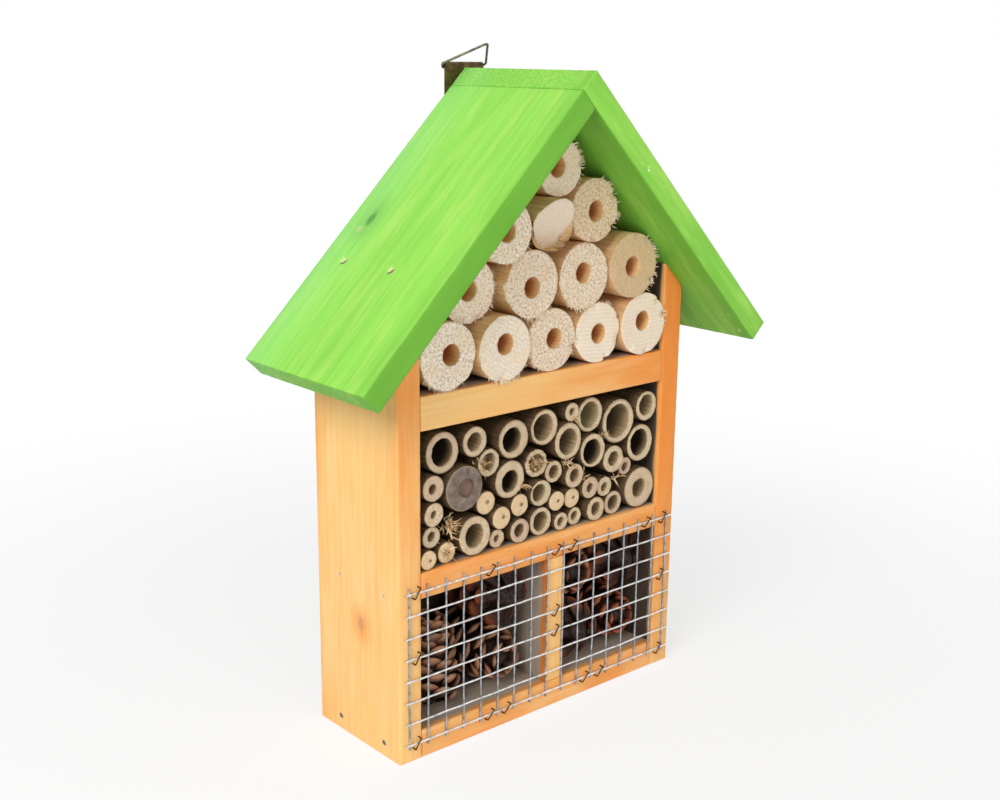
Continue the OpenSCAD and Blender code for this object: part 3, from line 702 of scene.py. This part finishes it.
for number, (shift, coarse, face_darkening, frays) in enumerate(sawn_ends, 1):
    node = f"stick_{number:02d}"
    low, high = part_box(node)
    cx, cz, radius = (low.x + high.x) / 2, (low.z + high.z) / 2, (high.x - low.x) / 2
    seed = 7.3 * number
    tilt = slant if shift is None else 0.0
    torn = [(rng.uniform(0, 2 * math.pi), rng.uniform(0.1, 0.35), rng.uniform(0.4, 1.6) * MM)
            for _ in range(5)]
    turn = rng.uniform(0, math.pi)
    hole, hole_shift, bore_rings = 0.6 * MM, (0.0, 0.0), 0
    if shift:
        hole, hole_shift, bore_rings = stick_hole, (shift[0] * MM, shift[1] * MM), 9
    rim = (0.5 * MM, 0.12 * MM, radius - 0.12 * MM)
    rings, zones = rod_rings((cx, cz), (low.y, high.y), radius, rim, radius, hole, hole_shift,
                             stick_hole_depth, (11, 15, bore_rings), 1.6)

    def carve(k, angle, p):
        away = math.hypot(p.x - cx, p.z - cz) / radius
        ripple = noise.noise(Vector((math.cos(angle) * 2, math.sin(angle) * 2, p.y * 30 + seed)))
        if zones[k] == 0.0:
            shrink = 1 - 0.008 * (1 + ripple)
            p = Vector((cx + (p.x - cx) * shrink, p.y, cz + (p.z - cz) * shrink))
        if p.y < low.y + 2 * MM and zones[k] < 2.0:
            rough = noise.noise(p * 900.0 + Vector((0, seed, 0))) + 0.6 * noise.noise(p * 2100.0)
            p.y += (0.12 + 0.2 * coarse) * MM * (rough + 0.6)
            for at, wide, bite in torn:
                off = abs((angle - at + math.pi) % (2 * math.pi) - math.pi)
                near = float(smooth_step(1 - off / wide))
                p.y += bite * near * float(smooth_step((away - 0.72) / 0.25))
            p.y += tilt * (cz + radius - p.z)
        return p

    def local(p):
        x, z = p.x - cx, p.z - cz
        return (x * math.cos(turn) - z * math.sin(turn) + 0.1 * seed, p.y - low.y,
                x * math.sin(turn) + z * math.cos(turn))

    points, faces = ring_stack(rings, stick_sides, carve)
    values = {"grain": [local(p) for p in points], "zone": per_point(zones, stick_sides),
              "coarse": [coarse] * len(points), "face_darkening": [face_darkening] * len(points)}
    belongs(piece_from(node + "_rod", points, faces, stick_wood, values), "house", "stick_wood", node)
    for middle in frays:
        for _ in range(frays_each):
            angle = rng.normal(middle, 0.24)
            inward = rng.uniform(0.94, 0.99)
            x, z = radius * inward * math.cos(angle), radius * inward * math.sin(angle)
            fray_points.append((cx + x, low.y + 0.6 * MM + tilt * (radius - z), cz + z))
            lean = rng.uniform(0.4, 1.1)
            fray_axes.append((lean * math.cos(angle), -rng.uniform(0.1, 0.7),
                              lean * math.sin(angle) - 0.2))
            fray_sizes.append(rng.uniform(0.9, 2.6) * MM)

fray_wood = mottled("frayed_fibre", [(0.35, "D6B88E"), (0.65, "F8EDDA")], 700.0, 4.0,
                    rough=0.8, strength=0.2, specular=0.2)


def fibre_group(name, material):
    tree, given = node_group(name, {"Thickness": 0.1, "Curl": 0.35})
    middle = xyz(tree, {"X": times(tree, given["Curl"], -0.2), "Z": 0.5})
    end = xyz(tree, {"X": given["Curl"], "Z": 1.0})
    line = put(tree, "GeometryNodeCurveQuadraticBezier",
               {"Resolution": 5, "Start": (0, 0, 0), "Middle": middle, "End": end})
    along = put(tree, "GeometryNodeSplineParameter").outputs["Factor"]
    taper = calc(tree, "MULTIPLY_ADD", along, -0.75, 1.0)
    profile = put(tree, "GeometryNodeCurvePrimitiveCircle",
                  {"Resolution": 4, "Radius": given["Thickness"]})
    strand = put(tree, "GeometryNodeCurveToMesh",
                 {"Curve": line, "Profile Curve": profile, "Scale": taper, "Fill Caps": True})
    spin = put(tree, "FunctionNodeRandomValue", {0: (0, 0, 0), 1: (0, 0, 6.28), "Seed": 5},
               data_type="FLOAT_VECTOR")
    turned = put(tree, "FunctionNodeEulerToRotation", {0: spin})
    aim = put(tree, "FunctionNodeAlignRotationToVector",
              {"Rotation": turned, "Vector": named(tree, "axis", "FLOAT_VECTOR")}, axis="Z")
    node_group_end(tree, set_on_points(tree, given, strand, aim, named(tree, "size")), material)
    return tree


fray_tree = fibre_group("frayed_fibres", fray_wood)
fray = grown("stick_fray", fray_tree, fray_points, {"axis": fray_axes, "size": fray_sizes})
belongs(fray, "house", "stick_wood")

# Reeds: dry cane and bamboo cut to length and packed loose on the lower shelf.
# Most are hollow, a few are filled with pith, one is cut at a knot and one is splintered.
# A reed's tint says what it is: 0 painted near black inside as painted shade, 0.5 plain, 1 greenish, 2
# filled, 3 cut at a knot.
reed_cane, tree = fresh("reed_cane")
grain, is_end, is_bore, inward = sawn_zones(tree)
tint = carried(tree, "tint")
streak = speckle(tree, stretched(tree, grain, (1.0, 0.02, 1.0)), 900.0)
dots = speckle(tree, stretched(tree, grain, (1.0, 0.3, 1.0)), 2400.0, 3.0, 0.7)
blotch = speckle(tree, grain, 240.0, 3.0)
# The skin is painted dark brown as painted shade, for the shadows in the gaps between the packed reeds.
skin = ramp(tree, streak, [(0.32, "3C2C1B"), (0.5, "503E29"), (0.7, "685439")])
skin = mixed(tree, remap(tree, blotch, 0.42, 0.68, 0.0, 0.6), skin, "5E4830")
each = speckle(tree, grain, 3.0, 0.0)
face = ramp(tree, dots, [(0.3, "AA9070"), (0.46, "D0B896"), (0.7, "E6D4B8")])
face = mixed(tree, remap(tree, blotch, 0.4, 0.7, 0.0, 0.4), face, "B0946F")
face = mixed(tree, remap(tree, each, 0.5, 0.7, 0.0, 0.5), face, "BC9C88")
face = mixed(tree, remap(tree, each, 0.5, 0.3, 0.0, 0.5), face, "C6BA98")
sheath = times(tree, is_end, remap(tree, carried(tree, "across"), 0.86, 0.95))
face = mixed(tree, times(tree, sheath, 0.6), face, "7E6446")
pith = mixed(tree, remap(tree, dots, 0.35, 0.6), "CEAA7C", "E6CEA8")
pith = mixed(tree, times(tree, sheath, 0.7), pith, "8E7048")
face = mixed(tree, remap(tree, tint, 1.4, 1.6), face, pith)
is_knot = remap(tree, tint, 2.4, 2.6)
mottle = calc(tree, "ADD", times(tree, blotch, 0.7), times(tree, dots, 0.3))
knot_face = ramp(tree, mottle, [(0.36, "5E5148"), (0.5, "7E6E62"), (0.64, "97867A")])
knot_face = mixed(tree, times(tree, sheath, 0.8), knot_face, "9A8670")
face = mixed(tree, is_knot, face, knot_face)
bore = ramp(tree, streak, [(0.3, "9A825E"), (0.7, "C4AC84")])
bore = mixed(tree, remap(tree, each, 0.5, 0.7, 0.0, 0.6), bore, "94765E")
# Painted shade: the bores turn darker deeper in.
bore = mixed(tree, remap(tree, inward, 1 * MM, 15 * MM, 0.0, 0.9), bore, "4A3A28")
bore = mixed(tree, is_knot, bore, "80685A")
# Painted shade: the bores of the reeds with tint 0 are painted near black inside.
painted_bore_shade = times(tree, remap(tree, tint, 0.35, 0.25), remap(tree, inward, 0.5 * MM, 7 * MM, 0.3, 1.0))
bore = mixed(tree, painted_bore_shade, bore, "32271B")
green = times(tree, remap(tree, tint, 0.7, 0.9), remap(tree, tint, 1.5, 1.3))
bore = mixed(tree, times(tree, green, 0.6), bore, "AEA47A")
base = mixed(tree, is_bore, mixed(tree, is_end, skin, face), bore)
relief = mixed(tree, is_end, streak, dots)
surface(tree, base, remap(tree, streak, 0.3, 0.7, 0.78, 0.62), relief, 0.0004, 0.5, specular=0.2)


def solids_of(node):
    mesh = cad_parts[node].data
    corners = np.array([v.co for v in mesh.vertices])
    same = {}
    merged = [same.setdefault(tuple(np.round(p, 6)), len(same)) for p in corners]
    parent = list(range(len(same)))

    def root(i):
        while parent[i] != i:
            parent[i] = parent[parent[i]]
            i = parent[i]
        return i

    for polygon in mesh.polygons:
        first = root(merged[polygon.vertices[0]])
        for v in polygon.vertices[1:]:
            parent[root(merged[v])] = first
    groups = {}
    for place, i in same.items():
        groups.setdefault(root(i), []).append(place)
    return [np.array(groups[k]) for k in sorted(groups)]


def reed_sizes(solid):
    low, high = solid.min(0), solid.max(0)
    cx, cz, radius = (low[0] + high[0]) / 2, (low[2] + high[2]) / 2, (high[0] - low[0]) / 2
    nearest = np.hypot(solid[:, 0] - cx, solid[:, 2] - cz).min()
    return cx, cz, radius, low[1], high[1], nearest if nearest < 0.85 * radius else 0.0


def cut_reed(solid, kind):
    cx, cz, radius, y0, y1, hole = reed_sizes(solid)
    sides = 56 if radius > 6 * MM else 36
    seed = rng.uniform(0, 50)
    oval, oval_turn = rng.uniform(0.0, 0.06), rng.uniform(0, math.pi)
    off_x, off_z = rng.normal(0, 0.04, 2) * radius
    bore_y = y1 - 0.6 * MM
    mark = {"green": 1.0, "knot": 3.0, "dark": 0.0}.get(kind, 0.5)
    if kind == "knot":
        hole, bore_y, off_x, off_z = 0.4 * radius, y0 + 2.2 * MM, 0.12 * radius, 0.0
    elif kind == "splintered":
        hole, bore_y = 0.66 * radius, y0 + 5 * MM
    elif hole == 0:
        hole, bore_y, off_x, mark = 0.16 * radius, y0 + 0.9 * MM, 0.2 * radius, 2.0
    rings, zones = rod_rings((cx, cz), (y0, y1), radius, (0.45 * MM, 0.15 * MM, 0.96 * radius),
                             0.95 * radius, hole, (off_x, off_z), bore_y - y0, (9, 6, 7), 1.5)
    face_rough = 0.3 * MM if kind != "splintered" else 0.9 * MM

    def carve(k, angle, p):
        squeeze = 1 - oval * (0.5 + 0.5 * math.cos(2 * (angle - oval_turn)))
        ridge = noise.noise(Vector((math.cos(angle) * 2.2, math.sin(angle) * 2.2, seed)))
        if zones[k] < 2:
            squeeze *= 1 - 0.02 * (1 + ridge)
        else:
            squeeze *= 1 + 0.05 * ridge
        middle = Vector((rings[k][0], p.y, rings[k][1]))
        p = middle + (p - middle) * squeeze
        if zones[k] == 1.0 or p.y < y0 + 0.5 * MM:
            p.y += face_rough * (0.5 + noise.noise(p * 700.0) + 0.5 * noise.noise(p * 1900.0))
        return p

    points, faces = ring_stack(rings, sides, carve)
    return points, faces, {"grain": [(p.x - cx + seed, p.y - y0, p.z - cz) for p in points],
                           "zone": per_point(zones, sides), "tint": [mark] * len(points),
                           "across": [math.hypot(p.x - cx, p.z - cz) / radius for p in points]}


special = {"reed_07": "knot", "reed_10": "splintered", "reed_17": "green"}
# Reeds whose bores are painted near black inside as painted shade.
special.update({node: "dark" for node in ("reed_06", "reed_08", "reed_09", "reed_14", "reed_15")})
for node in [f"reed_{k:02d}" for k in range(1, 20)] + ["thin_reeds_low", "thin_reeds_high"]:
    points, faces, values = [], [], {"grain": [], "zone": [], "tint": [], "across": []}
    for solid in solids_of(node):
        cut_points, cut_faces, cut_values = cut_reed(solid, special.get(node, "cut"))
        faces += [tuple(i + len(points) for i in face) for face in cut_faces]
        points += cut_points
        for key, numbers in cut_values.items():
            values[key] += numbers
    belongs(piece_from(node + "_cane", points, faces, reed_cane, values), "house", "reed_cane", node)

# Straw: dry torn leaf sheath and chaff of the reeds, in thin curled strands.
# It is fixed by nothing: it is caught where the front ends of the reeds leave gaps.
straw = mottled("torn_straw", [(0.3, "7E5A3A"), (0.45, "C29A68"), (0.62, "F0DCB6")], 420.0, 4.0,
                rough=0.8, strength=0.2, specular=0.2)
straw_tree = fibre_group("torn_straw_strands", straw)
# For each tuft: its place across and its height in mm, its number of strands and its width in mm
tufts = [(-55.0, 103.0, 46, 4.2), (-57.0, 91.0, 26, 2.6), (-38.0, 127.0, 20, 2.4),
         (-13.0, 112.0, 10, 1.5), (-5.0, 121.5, 26, 2.6), (14.0, 118.0, 12, 1.5),
         (26.0, 108.0, 14, 1.8), (38.0, 127.0, 12, 1.5), (17.0, 139.0, 14, 1.6),
         (45.0, 104.0, 10, 1.4)]
reed_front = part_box("reed_01")[0].y
straw_points, straw_axes, straw_sizes = [], [], []
for x, z, count, spread in tufts:
    for _ in range(count):
        straw_points.append((x * MM + rng.normal(0, spread * 0.5) * MM,
                             reed_front + rng.uniform(0.5, 6) * MM,
                             z * MM + rng.normal(0, spread * 0.5) * MM))
        straw_axes.append((rng.normal(0, 0.5), -rng.uniform(0.3, 1.0), rng.normal(0, 0.6)))
        straw_sizes.append(rng.uniform(2.0, 6.5) * MM)
tuft = grown("straw_tufts", straw_tree, straw_points, {"axis": straw_axes, "size": straw_sizes},
             {"Thickness": 0.085, "Curl": 0.4})
belongs(tuft, "house", "reed_cane")

# Pine cones: dry woody cones put loose into the two boxes, one standing and the rest lying.
# Each is a spiral of thick woody scales with a pale blunt tip on a narrow core.
cone_wood, tree = fresh("cone_wood")
tip = carried(tree, "tip")
shade = carried(tree, "shade")
bark = speckle(tree, object_place(tree), 620.0, 5.0)
# The ramp darkens each scale towards its root as painted shade under the scale above; the pale tip is
# partly the scale's own colour and partly painted highlight.
base = ramp(tree, tip, [(0.0, "150C08"), (0.58, "22130D"), (0.78, "563828"), (0.91, "946547"),
                        (1.0, "BC8E6C")])
base = mixed(tree, remap(tree, bark, 0.42, 0.7, 0.0, 0.35), base, "6E4632")
base = mixed(tree, remap(tree, shade, 0.4, 1.0, 0.0, 0.45), base, "2E1A12")
base = mixed(tree, carried(tree, "reddish"), base, mixed(tree, 1.0, base, "F0B498", "MULTIPLY"))
surface(tree, base, remap(tree, bark, 0.3, 0.7, 0.75, 0.5), bark, 0.0004, 0.5, specular=0.3)

# Along one scale: the share of its length, its half width and its half thickness
scale_form = [(0.0, 0.12, 0.06), (0.35, 0.2, 0.07), (0.58, 0.3, 0.09), (0.76, 0.39, 0.12),
              (0.88, 0.38, 0.13), (0.96, 0.27, 0.09), (1.0, 0.1, 0.04)]
scale_sides = 8


def scale_outline(k, angle, p):
    share, half_width, half_thick = scale_form[k]
    keel = math.sin(angle) * abs(math.sin(angle))
    return Vector((share, half_width * math.cos(angle), 0.16 * share ** 2 + half_thick * keel))


scale_rings = [(0, 0, form[0], 1.0) for form in scale_form]
scale_points, scale_faces = ring_stack(scale_rings, scale_sides, scale_outline)
scale_tips = [p.x for p in scale_points]

golden_angle = math.radians(137.508)
tree, given = node_group("pine_cone_spiral", {
    "Scales": 70, "Length": 50 * MM, "Radius": 14 * MM, "Opening": 0.5, "Scale Length": 0.75, "Seed": 1,
    "Turn": (0, 0, 0), "Place": (0, 0, 0)})
index = put(tree, "GeometryNodeInputIndex").outputs[0]
t = calc(tree, "DIVIDE", calc(tree, "ADD", index, 0.5), given["Scales"])
swell = put(tree, "ShaderNodeFloatCurve", {"Value": t})
for place, height in ((0.0, 0.8), (0.1, 0.96), (0.4, 1.0), (0.7, 0.97), (0.86, 0.84), (0.95, 0.66),
                      (1.0, 0.5)):
    if place in (0.0, 1.0):
        swell.mapping.curves[0].points[0 if place == 0.0 else -1].location = (place, height)
    else:
        swell.mapping.curves[0].points.new(place, height)
swell.mapping.update()
angle = times(tree, index, golden_angle)
reach = times(tree, given["Radius"], swell)
core = times(tree, reach, 0.3)
rise = times(tree, given["Length"], calc(tree, "MULTIPLY_ADD", t, 0.8, 0.02))
spot = xyz(tree, {"X": times(tree, core, calc(tree, "COSINE", angle)),
                  "Y": times(tree, core, calc(tree, "SINE", angle)), "Z": rise})
points = put(tree, "GeometryNodePoints", {"Count": given["Scales"], "Position": spot})
jitter = put(tree, "FunctionNodeRandomValue", {2: -0.12, 3: 0.12, "Seed": given["Seed"]},
             data_type="FLOAT").outputs[1]
tilt = calc(tree, "SUBTRACT", calc(tree, "MULTIPLY_ADD", t, -0.7, -0.4),
            times(tree, calc(tree, "SUBTRACT", 0.5, given["Opening"]), 0.8))
tilt = calc(tree, "ADD", tilt, jitter)
turned = put(tree, "FunctionNodeEulerToRotation", {0: xyz(tree, {"X": jitter, "Y": tilt, "Z": angle})})
size = times(tree, reach, given["Scale Length"])
spiral = put(tree, "GeometryNodeInstanceOnPoints",
             {"Points": points, "Instance": given["Geometry"], "Rotation": turned, "Scale": size})
hue = put(tree, "FunctionNodeRandomValue", {"Seed": given["Seed"]}, data_type="FLOAT")
spiral = put(tree, "GeometryNodeStoreNamedAttribute",
             {"Geometry": spiral, "Name": "shade", "Value": hue.outputs[1]},
             data_type="FLOAT", domain="INSTANCE")
half = times(tree, given["Length"], 0.44)
waist = times(tree, given["Radius"], 0.62)
core = put(tree, "GeometryNodeMeshUVSphere", {"Segments": 16, "Rings": 10, "Radius": 1.0})
core = put(tree, "GeometryNodeTransform",
           {"Geometry": core, "Translation": xyz(tree, {"Z": half}),
            "Scale": xyz(tree, {"X": waist, "Y": waist, "Z": half})})
whole = put(tree, "GeometryNodeTransform",
            {"Geometry": joined(tree, spiral, core),
             "Rotation": put(tree, "FunctionNodeEulerToRotation", {0: given["Turn"]}),
             "Translation": given["Place"]})
node_group_end(tree, whole, cone_wood)

for k in range(1, 8):
    node = f"pine_cone_{k}"
    low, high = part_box(node)
    standing = k == 1
    forward = k in (2, 5, 6)
    radius = min(high.x - low.x, high.z - low.z) / 2
    if standing:
        place, turn = (((low.x + high.x) / 2, (low.y + high.y) / 2, low.z), (0, 0, 0.4))
        length = high.z - low.z
    else:
        place = ((low.x + high.x) / 2, high.y if forward else low.y, (low.z + high.z) / 2)
        turn = (math.radians(90 if forward else -90), 0, 0)
        length = high.y - low.y
    # Cone 2 is multiplied less towards red, so it is painted paler as painted light where the light
    # falls on it.
    red_share = 0.0 if standing else 0.15 if k == 2 else 0.55 + 0.45 * (k % 2)
    reddish = [red_share] * len(scale_points)
    cone = grown(node + "_scales", tree, scale_points, {"tip": scale_tips, "reddish": reddish},
                 {"Scales": 74 if standing else 54, "Length": length, "Radius": radius,
                  "Opening": 0.45 if standing else 0.7, "Scale Length": 0.75 if standing else 0.84,
                  "Seed": 11 * k, "Turn": turn, "Place": place}, scale_faces)
    cone.data.shade_smooth()
    belongs(cone, "house", "cone_wood", node)

# Wire mesh: welded galvanised wire cut from a roll and laid over the two cone boxes.
# Upright wires lie on the wood, cross wires are welded in front of them, ends stick out.
zinc, tree = fresh("galvanised_wire")
place = object_place(tree)
bloom = speckle(tree, place, 380.0, 4.0)
grit = speckle(tree, place, 2600.0, 2.0)
# The same zinc is painted grey on the uprights as painted shade and near white on the cross wires in
# front as painted highlight.
upright_zinc_painted_shade = ramp(tree, bloom, [(0.3, "74767A"), (0.5, "A6A8AC"), (0.7, "CDCFD2")])
cross_zinc_painted_highlight = ramp(tree, bloom, [(0.3, "B4B4B4"), (0.5, "E4E3E2"), (0.7, "FFFDFA")])
surface(tree, mixed(tree, carried(tree, "cross"), upright_zinc_painted_shade, cross_zinc_painted_highlight),
        remap(tree, bloom, 0.3, 0.7, 0.5, 0.28), grit, 0.0001, 0.35, metallic=0.75)

mesh_low, mesh_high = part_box("wire_mesh")
wire = 0.9 * MM
tail = 2.5 * MM
columns, rows = 16, 7
tree, given = node_group("welded_mesh", {
    "Columns": columns, "Rows": rows, "Wire": wire / 2, "Width": 0.16, "Height": 0.07, "Tail": tail,
    "Bend": 0.5 * MM, "Corner": (0, 0, 0), "Front": 0.7 * MM})


def round_wire(tree, line, radius):
    ring = put(tree, "GeometryNodeCurvePrimitiveCircle", {"Resolution": 10, "Radius": radius})
    return put(tree, "GeometryNodeCurveToMesh",
               {"Curve": line, "Profile Curve": ring, "Fill Caps": True})


def bent_wires(tree, given, upright):
    count = given["Columns"] if upright else given["Rows"]
    across, length = given["Width"], given["Height"]
    if not upright:
        across, length = length, across
    step = calc(tree, "DIVIDE", across, count)
    axis, other = ("Z", "X") if upright else ("X", "Z")
    begin = xyz(tree, {axis: times(tree, given["Tail"], -1.0)})
    end = xyz(tree, {axis: calc(tree, "ADD", length, given["Tail"])})
    line = put(tree, "GeometryNodeCurvePrimitiveLine", {"Start": begin, "End": end})
    line = put(tree, "GeometryNodeResampleCurve", {"Curve": line, "Count": 48 if upright else 110})
    offset = xyz(tree, {other: step})
    lift = xyz(tree, {"Y": 0.0 if upright else times(tree, given["Front"], -1.0)})
    spots = put(tree, "GeometryNodeMeshLine",
                {"Count": calc(tree, "ADD", count, 1.0), "Start Location": lift, "Offset": offset})
    lines = put(tree, "GeometryNodeInstanceOnPoints", {"Points": spots, "Instance": line})
    lines = put(tree, "GeometryNodeRealizeInstances", {"Geometry": lines})
    waves = put(tree, "ShaderNodeTexNoise",
                {"Vector": put(tree, "GeometryNodeInputPosition"), "Scale": 62.0, "Detail": 2.0})
    sway = put(tree, "ShaderNodeVectorMath", {0: waves.outputs["Color"], 1: (0.5, 0.5, 0.5)},
               operation="SUBTRACT")
    share = (2.4, 0.3, 1.6) if upright else (1.6, 0.3, 2.0)
    sway = put(tree, "ShaderNodeVectorMath", {0: sway, 1: share}, operation="MULTIPLY")
    sway = put(tree, "ShaderNodeVectorMath", {0: sway, "Scale": given["Bend"]}, operation="SCALE")
    lines = put(tree, "GeometryNodeSetPosition", {"Geometry": lines, "Offset": sway})
    return round_wire(tree, lines, given["Wire"])


uprights = bent_wires(tree, given, True)
crosses = bent_wires(tree, given, False)
crosses = put(tree, "GeometryNodeStoreNamedAttribute",
              {"Geometry": crosses, "Name": "cross", "Value": 1.0}, data_type="FLOAT", domain="POINT")
both = joined(tree, uprights, crosses)
both = put(tree, "GeometryNodeTransform", {"Geometry": both, "Translation": given["Corner"]})
smooth = put(tree, "GeometryNodeSetShadeSmooth", {"Geometry": both})
node_group_end(tree, smooth, zinc)
corner = (mesh_low.x + tail, mesh_high.y - wire / 2, mesh_low.z + tail)
mesh = grown("wire_mesh_welded", tree, [(0, 0, 0)], {},
             {"Width": mesh_high.x - mesh_low.x - 2 * tail,
              "Height": mesh_high.z - mesh_low.z - 2 * tail, "Corner": corner})
belongs(mesh, "house", "mesh_wire", "wire_mesh")

# Staples: small U-shaped staples of bronze-coated steel wire.
# They are shot askew over the cross wires into the front edges of the boards.
bronze = mottled("staple_bronze", [(0.3, "231A12"), (0.55, "4C3A22"), (0.75, "7C6038")], 1400.0, 4.0,
                 rough=(0.55, 0.35), strength=0.4, metallic=0.85)
tree, given = node_group("askew_staples", {"Half Width": 2.7 * MM, "Rise": 2.6 * MM, "Wire": 0.32 * MM})
left, right = times(tree, given["Half Width"], -1.0), given["Half Width"]
crown = put(tree, "GeometryNodeCurvePrimitiveLine",
            {"Start": xyz(tree, {"X": left}), "End": xyz(tree, {"X": right})})
legs = [put(tree, "GeometryNodeCurvePrimitiveLine",
            {"Start": xyz(tree, {"X": way}), "End": xyz(tree, {"X": way, "Y": given["Rise"]})})
        for way in (left, right)]
bent = round_wire(tree, joined(tree, crown, *legs), given["Wire"])
tilted = put(tree, "FunctionNodeEulerToRotation", {0: xyz(tree, {"Y": named(tree, "tilt")})})
staples = set_on_points(tree, given, bent, tilted)
node_group_end(tree, put(tree, "GeometryNodeSetShadeSmooth", {"Geometry": staples}), bronze)
staple_points, staple_tilts = [], []
for solid in solids_of("mesh_staples"):
    low, high = solid.min(0), solid.max(0)
    front = solid[solid[:, 1] < low[1] + 0.4 * MM]
    slope = math.atan2(np.ptp(front[:, 2]), np.ptp(front[:, 0]))
    staple_points.append(((low[0] + high[0]) / 2, low[1] + 0.5 * MM, (low[2] + high[2]) / 2))
    staple_tilts.append(-slope)
staples = grown("mesh_staples_bent", tree, staple_points, {"tilt": staple_tilts})
belongs(staples, "house", "staple_bronze", "mesh_staples")

# Hanger: a stamped strap plate of bronzed steel, screwed to the back of the roof, its top rolled
# into an eye. The ring is a triangle of bent steel wire whose bar turns in the eye.
plate_bronze = mottled("hanger_bronze", [(0.3, "40341F"), (0.5, "5A482C"), (0.72, "7C683E")], 260.0, 5.0,
                       rough=(0.55, 0.32), strength=0.3, metallic=0.85, grit=2200.0)
ring_steel = mottled("ring_wire", [(0.3, "4A4639"), (0.6, "7C7865"), (0.75, "9C9884")], 500.0, 4.0,
                     rough=(0.55, 0.4), strength=0.3, metallic=0.7)
for node, material in (("hanger_plate", plate_bronze), ("hanger_screws", steel)):
    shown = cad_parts[node]
    shown.data.materials.clear()
    shown.data.materials.append(material)
low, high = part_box("hanger_ring")
ring_wire, bend_r, knee = 1.1 * MM, 1.4 * MM, 1.6 * MM
bend_steps = 8
inset = Vector((knee, knee, knee)) / 2
low, high = low + inset, high - inset
corners = [Vector((low.x, high.y, low.z)), Vector((high.x, high.y, low.z)), Vector((0, low.y, high.z))]
centre_line = []
for k, corner in enumerate(corners):
    back_way = (corners[k - 1] - corner).normalized()
    next_way = (corners[(k + 1) % 3] - corner).normalized()
    half_angle = back_way.angle(next_way) / 2
    start, end = (corner + way * bend_r / math.tan(half_angle) for way in (back_way, next_way))
    middle = corner + (back_way + next_way).normalized() * bend_r / math.sin(half_angle)
    for step in range(bend_steps + 1):
        spoke = (start - middle).lerp(end - middle, step / bend_steps).normalized()
        centre_line.append(middle + spoke * bend_r)
across = (corners[1] - corners[0]).cross(corners[2] - corners[0]).normalized()
sides, count = 14, len(centre_line)
points, faces = [], []
for k, spot in enumerate(centre_line):
    outward = (centre_line[(k + 1) % count] - centre_line[k - 1]).normalized().cross(across)
    for j in range(sides):
        angle = 2 * math.pi * j / sides
        points.append(spot + (outward * math.cos(angle) + across * math.sin(angle)) * ring_wire / 2)
        a, b = k * sides + j, k * sides + (j + 1) % sides
        c, d = ((k + 1) % count) * sides + (j + 1) % sides, ((k + 1) % count) * sides + j
        faces.append((a, d, c, b))
ring = piece_from("hanger_ring_wire", points, faces, ring_steel, {})
belongs(ring, "ring", "ring_wire", "hanger_ring")

# Floor and light: a plain pale studio floor under a white surround.
# A soft key light stands to the left of the house and a weaker fill in front of it.
def backdrop_rays(tree):
    path = put(tree, "ShaderNodeLightPath").outputs
    mirrored = calc(tree, "MAXIMUM", path["Is Glossy Ray"], path["Is Transmission Ray"])
    return calc(tree, "MAXIMUM", path["Is Camera Ray"], mirrored)


paper, tree = fresh("pale_floor")
far = put(tree, "ShaderNodeVectorMath", {0: object_place(tree)}, operation="LENGTH").outputs["Value"]
matt = put(tree, "ShaderNodeBsdfDiffuse", {"Color": (0.9, 0.9, 0.9, 1)})
white = put(tree, "ShaderNodeEmission", {"Color": (1, 1, 1, 1), "Strength": 1.0})
faded = times(tree, backdrop_rays(tree), remap(tree, far, 0.12, 0.6, 0.72, 1.0))
both = put(tree, "ShaderNodeMixShader", {0: faded, 1: matt, 2: white})
put(tree, "ShaderNodeOutputMaterial", {"Surface": both})
reach = 6.0
floor_corners = [(-reach, -reach, 0), (reach, -reach, 0), (reach, reach, 0), (-reach, reach, 0)]
floor = piece_from("studio_floor", floor_corners, [(0, 1, 2, 3)], paper, {})
floor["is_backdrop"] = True

world = bpy.data.worlds.new("studio")
bpy.context.scene.world = world
world.use_nodes = True
tree = world.node_tree
tree.nodes.clear()
strength = calc(tree, "MULTIPLY_ADD", backdrop_rays(tree), 0.66, 0.34)
put(tree, "ShaderNodeOutputWorld",
    {"Surface": put(tree, "ShaderNodeBackground", {"Color": (1, 1, 1, 1), "Strength": strength})})
light_aim = Vector((0, 0, 0.15))
for name, place, size, power in (("key_light", (-1.3, -0.5, 1.1), 0.8, 21.0),
                                 ("front_fill", (-0.3, -1.6, 0.5), 1.0, 9.0)):
    lamp = bpy.data.lights.new(name, "AREA")
    lamp.size = size
    lamp.energy = power
    lit = linked(name, lamp)
    lit.location = place
    lit.rotation_euler = (light_aim - Vector(place)).to_track_quat("-Z", "Y").to_euler()

# Camera: stands to the left of the front and a little above the eaves, and looks slightly down.
# Its place and angles are those from which the house was photographed.
focal_px, frame_w = 1350.5, 1000
sensor_mm = 36.0
camera_place = (-400.65 * MM, -456.03 * MM, 300 * MM)
turn_left, look_down, tip_over = math.radians(41.07), math.radians(14.37), math.radians(0.61)
camera = linked("camera", bpy.data.cameras.new("camera"))
camera.data.sensor_width = sensor_mm
camera.data.lens = sensor_mm * focal_px / frame_w
aim = Euler((math.radians(90) - look_down, 0, -turn_left)).to_matrix()
aim = aim @ Matrix.Rotation(tip_over, 3, "Z")
camera.matrix_world = Matrix.Translation(camera_place) @ aim.to_4x4()
bpy.context.scene.camera = camera
bpy.context.scene.view_settings.view_transform = "Standard"

low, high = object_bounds()
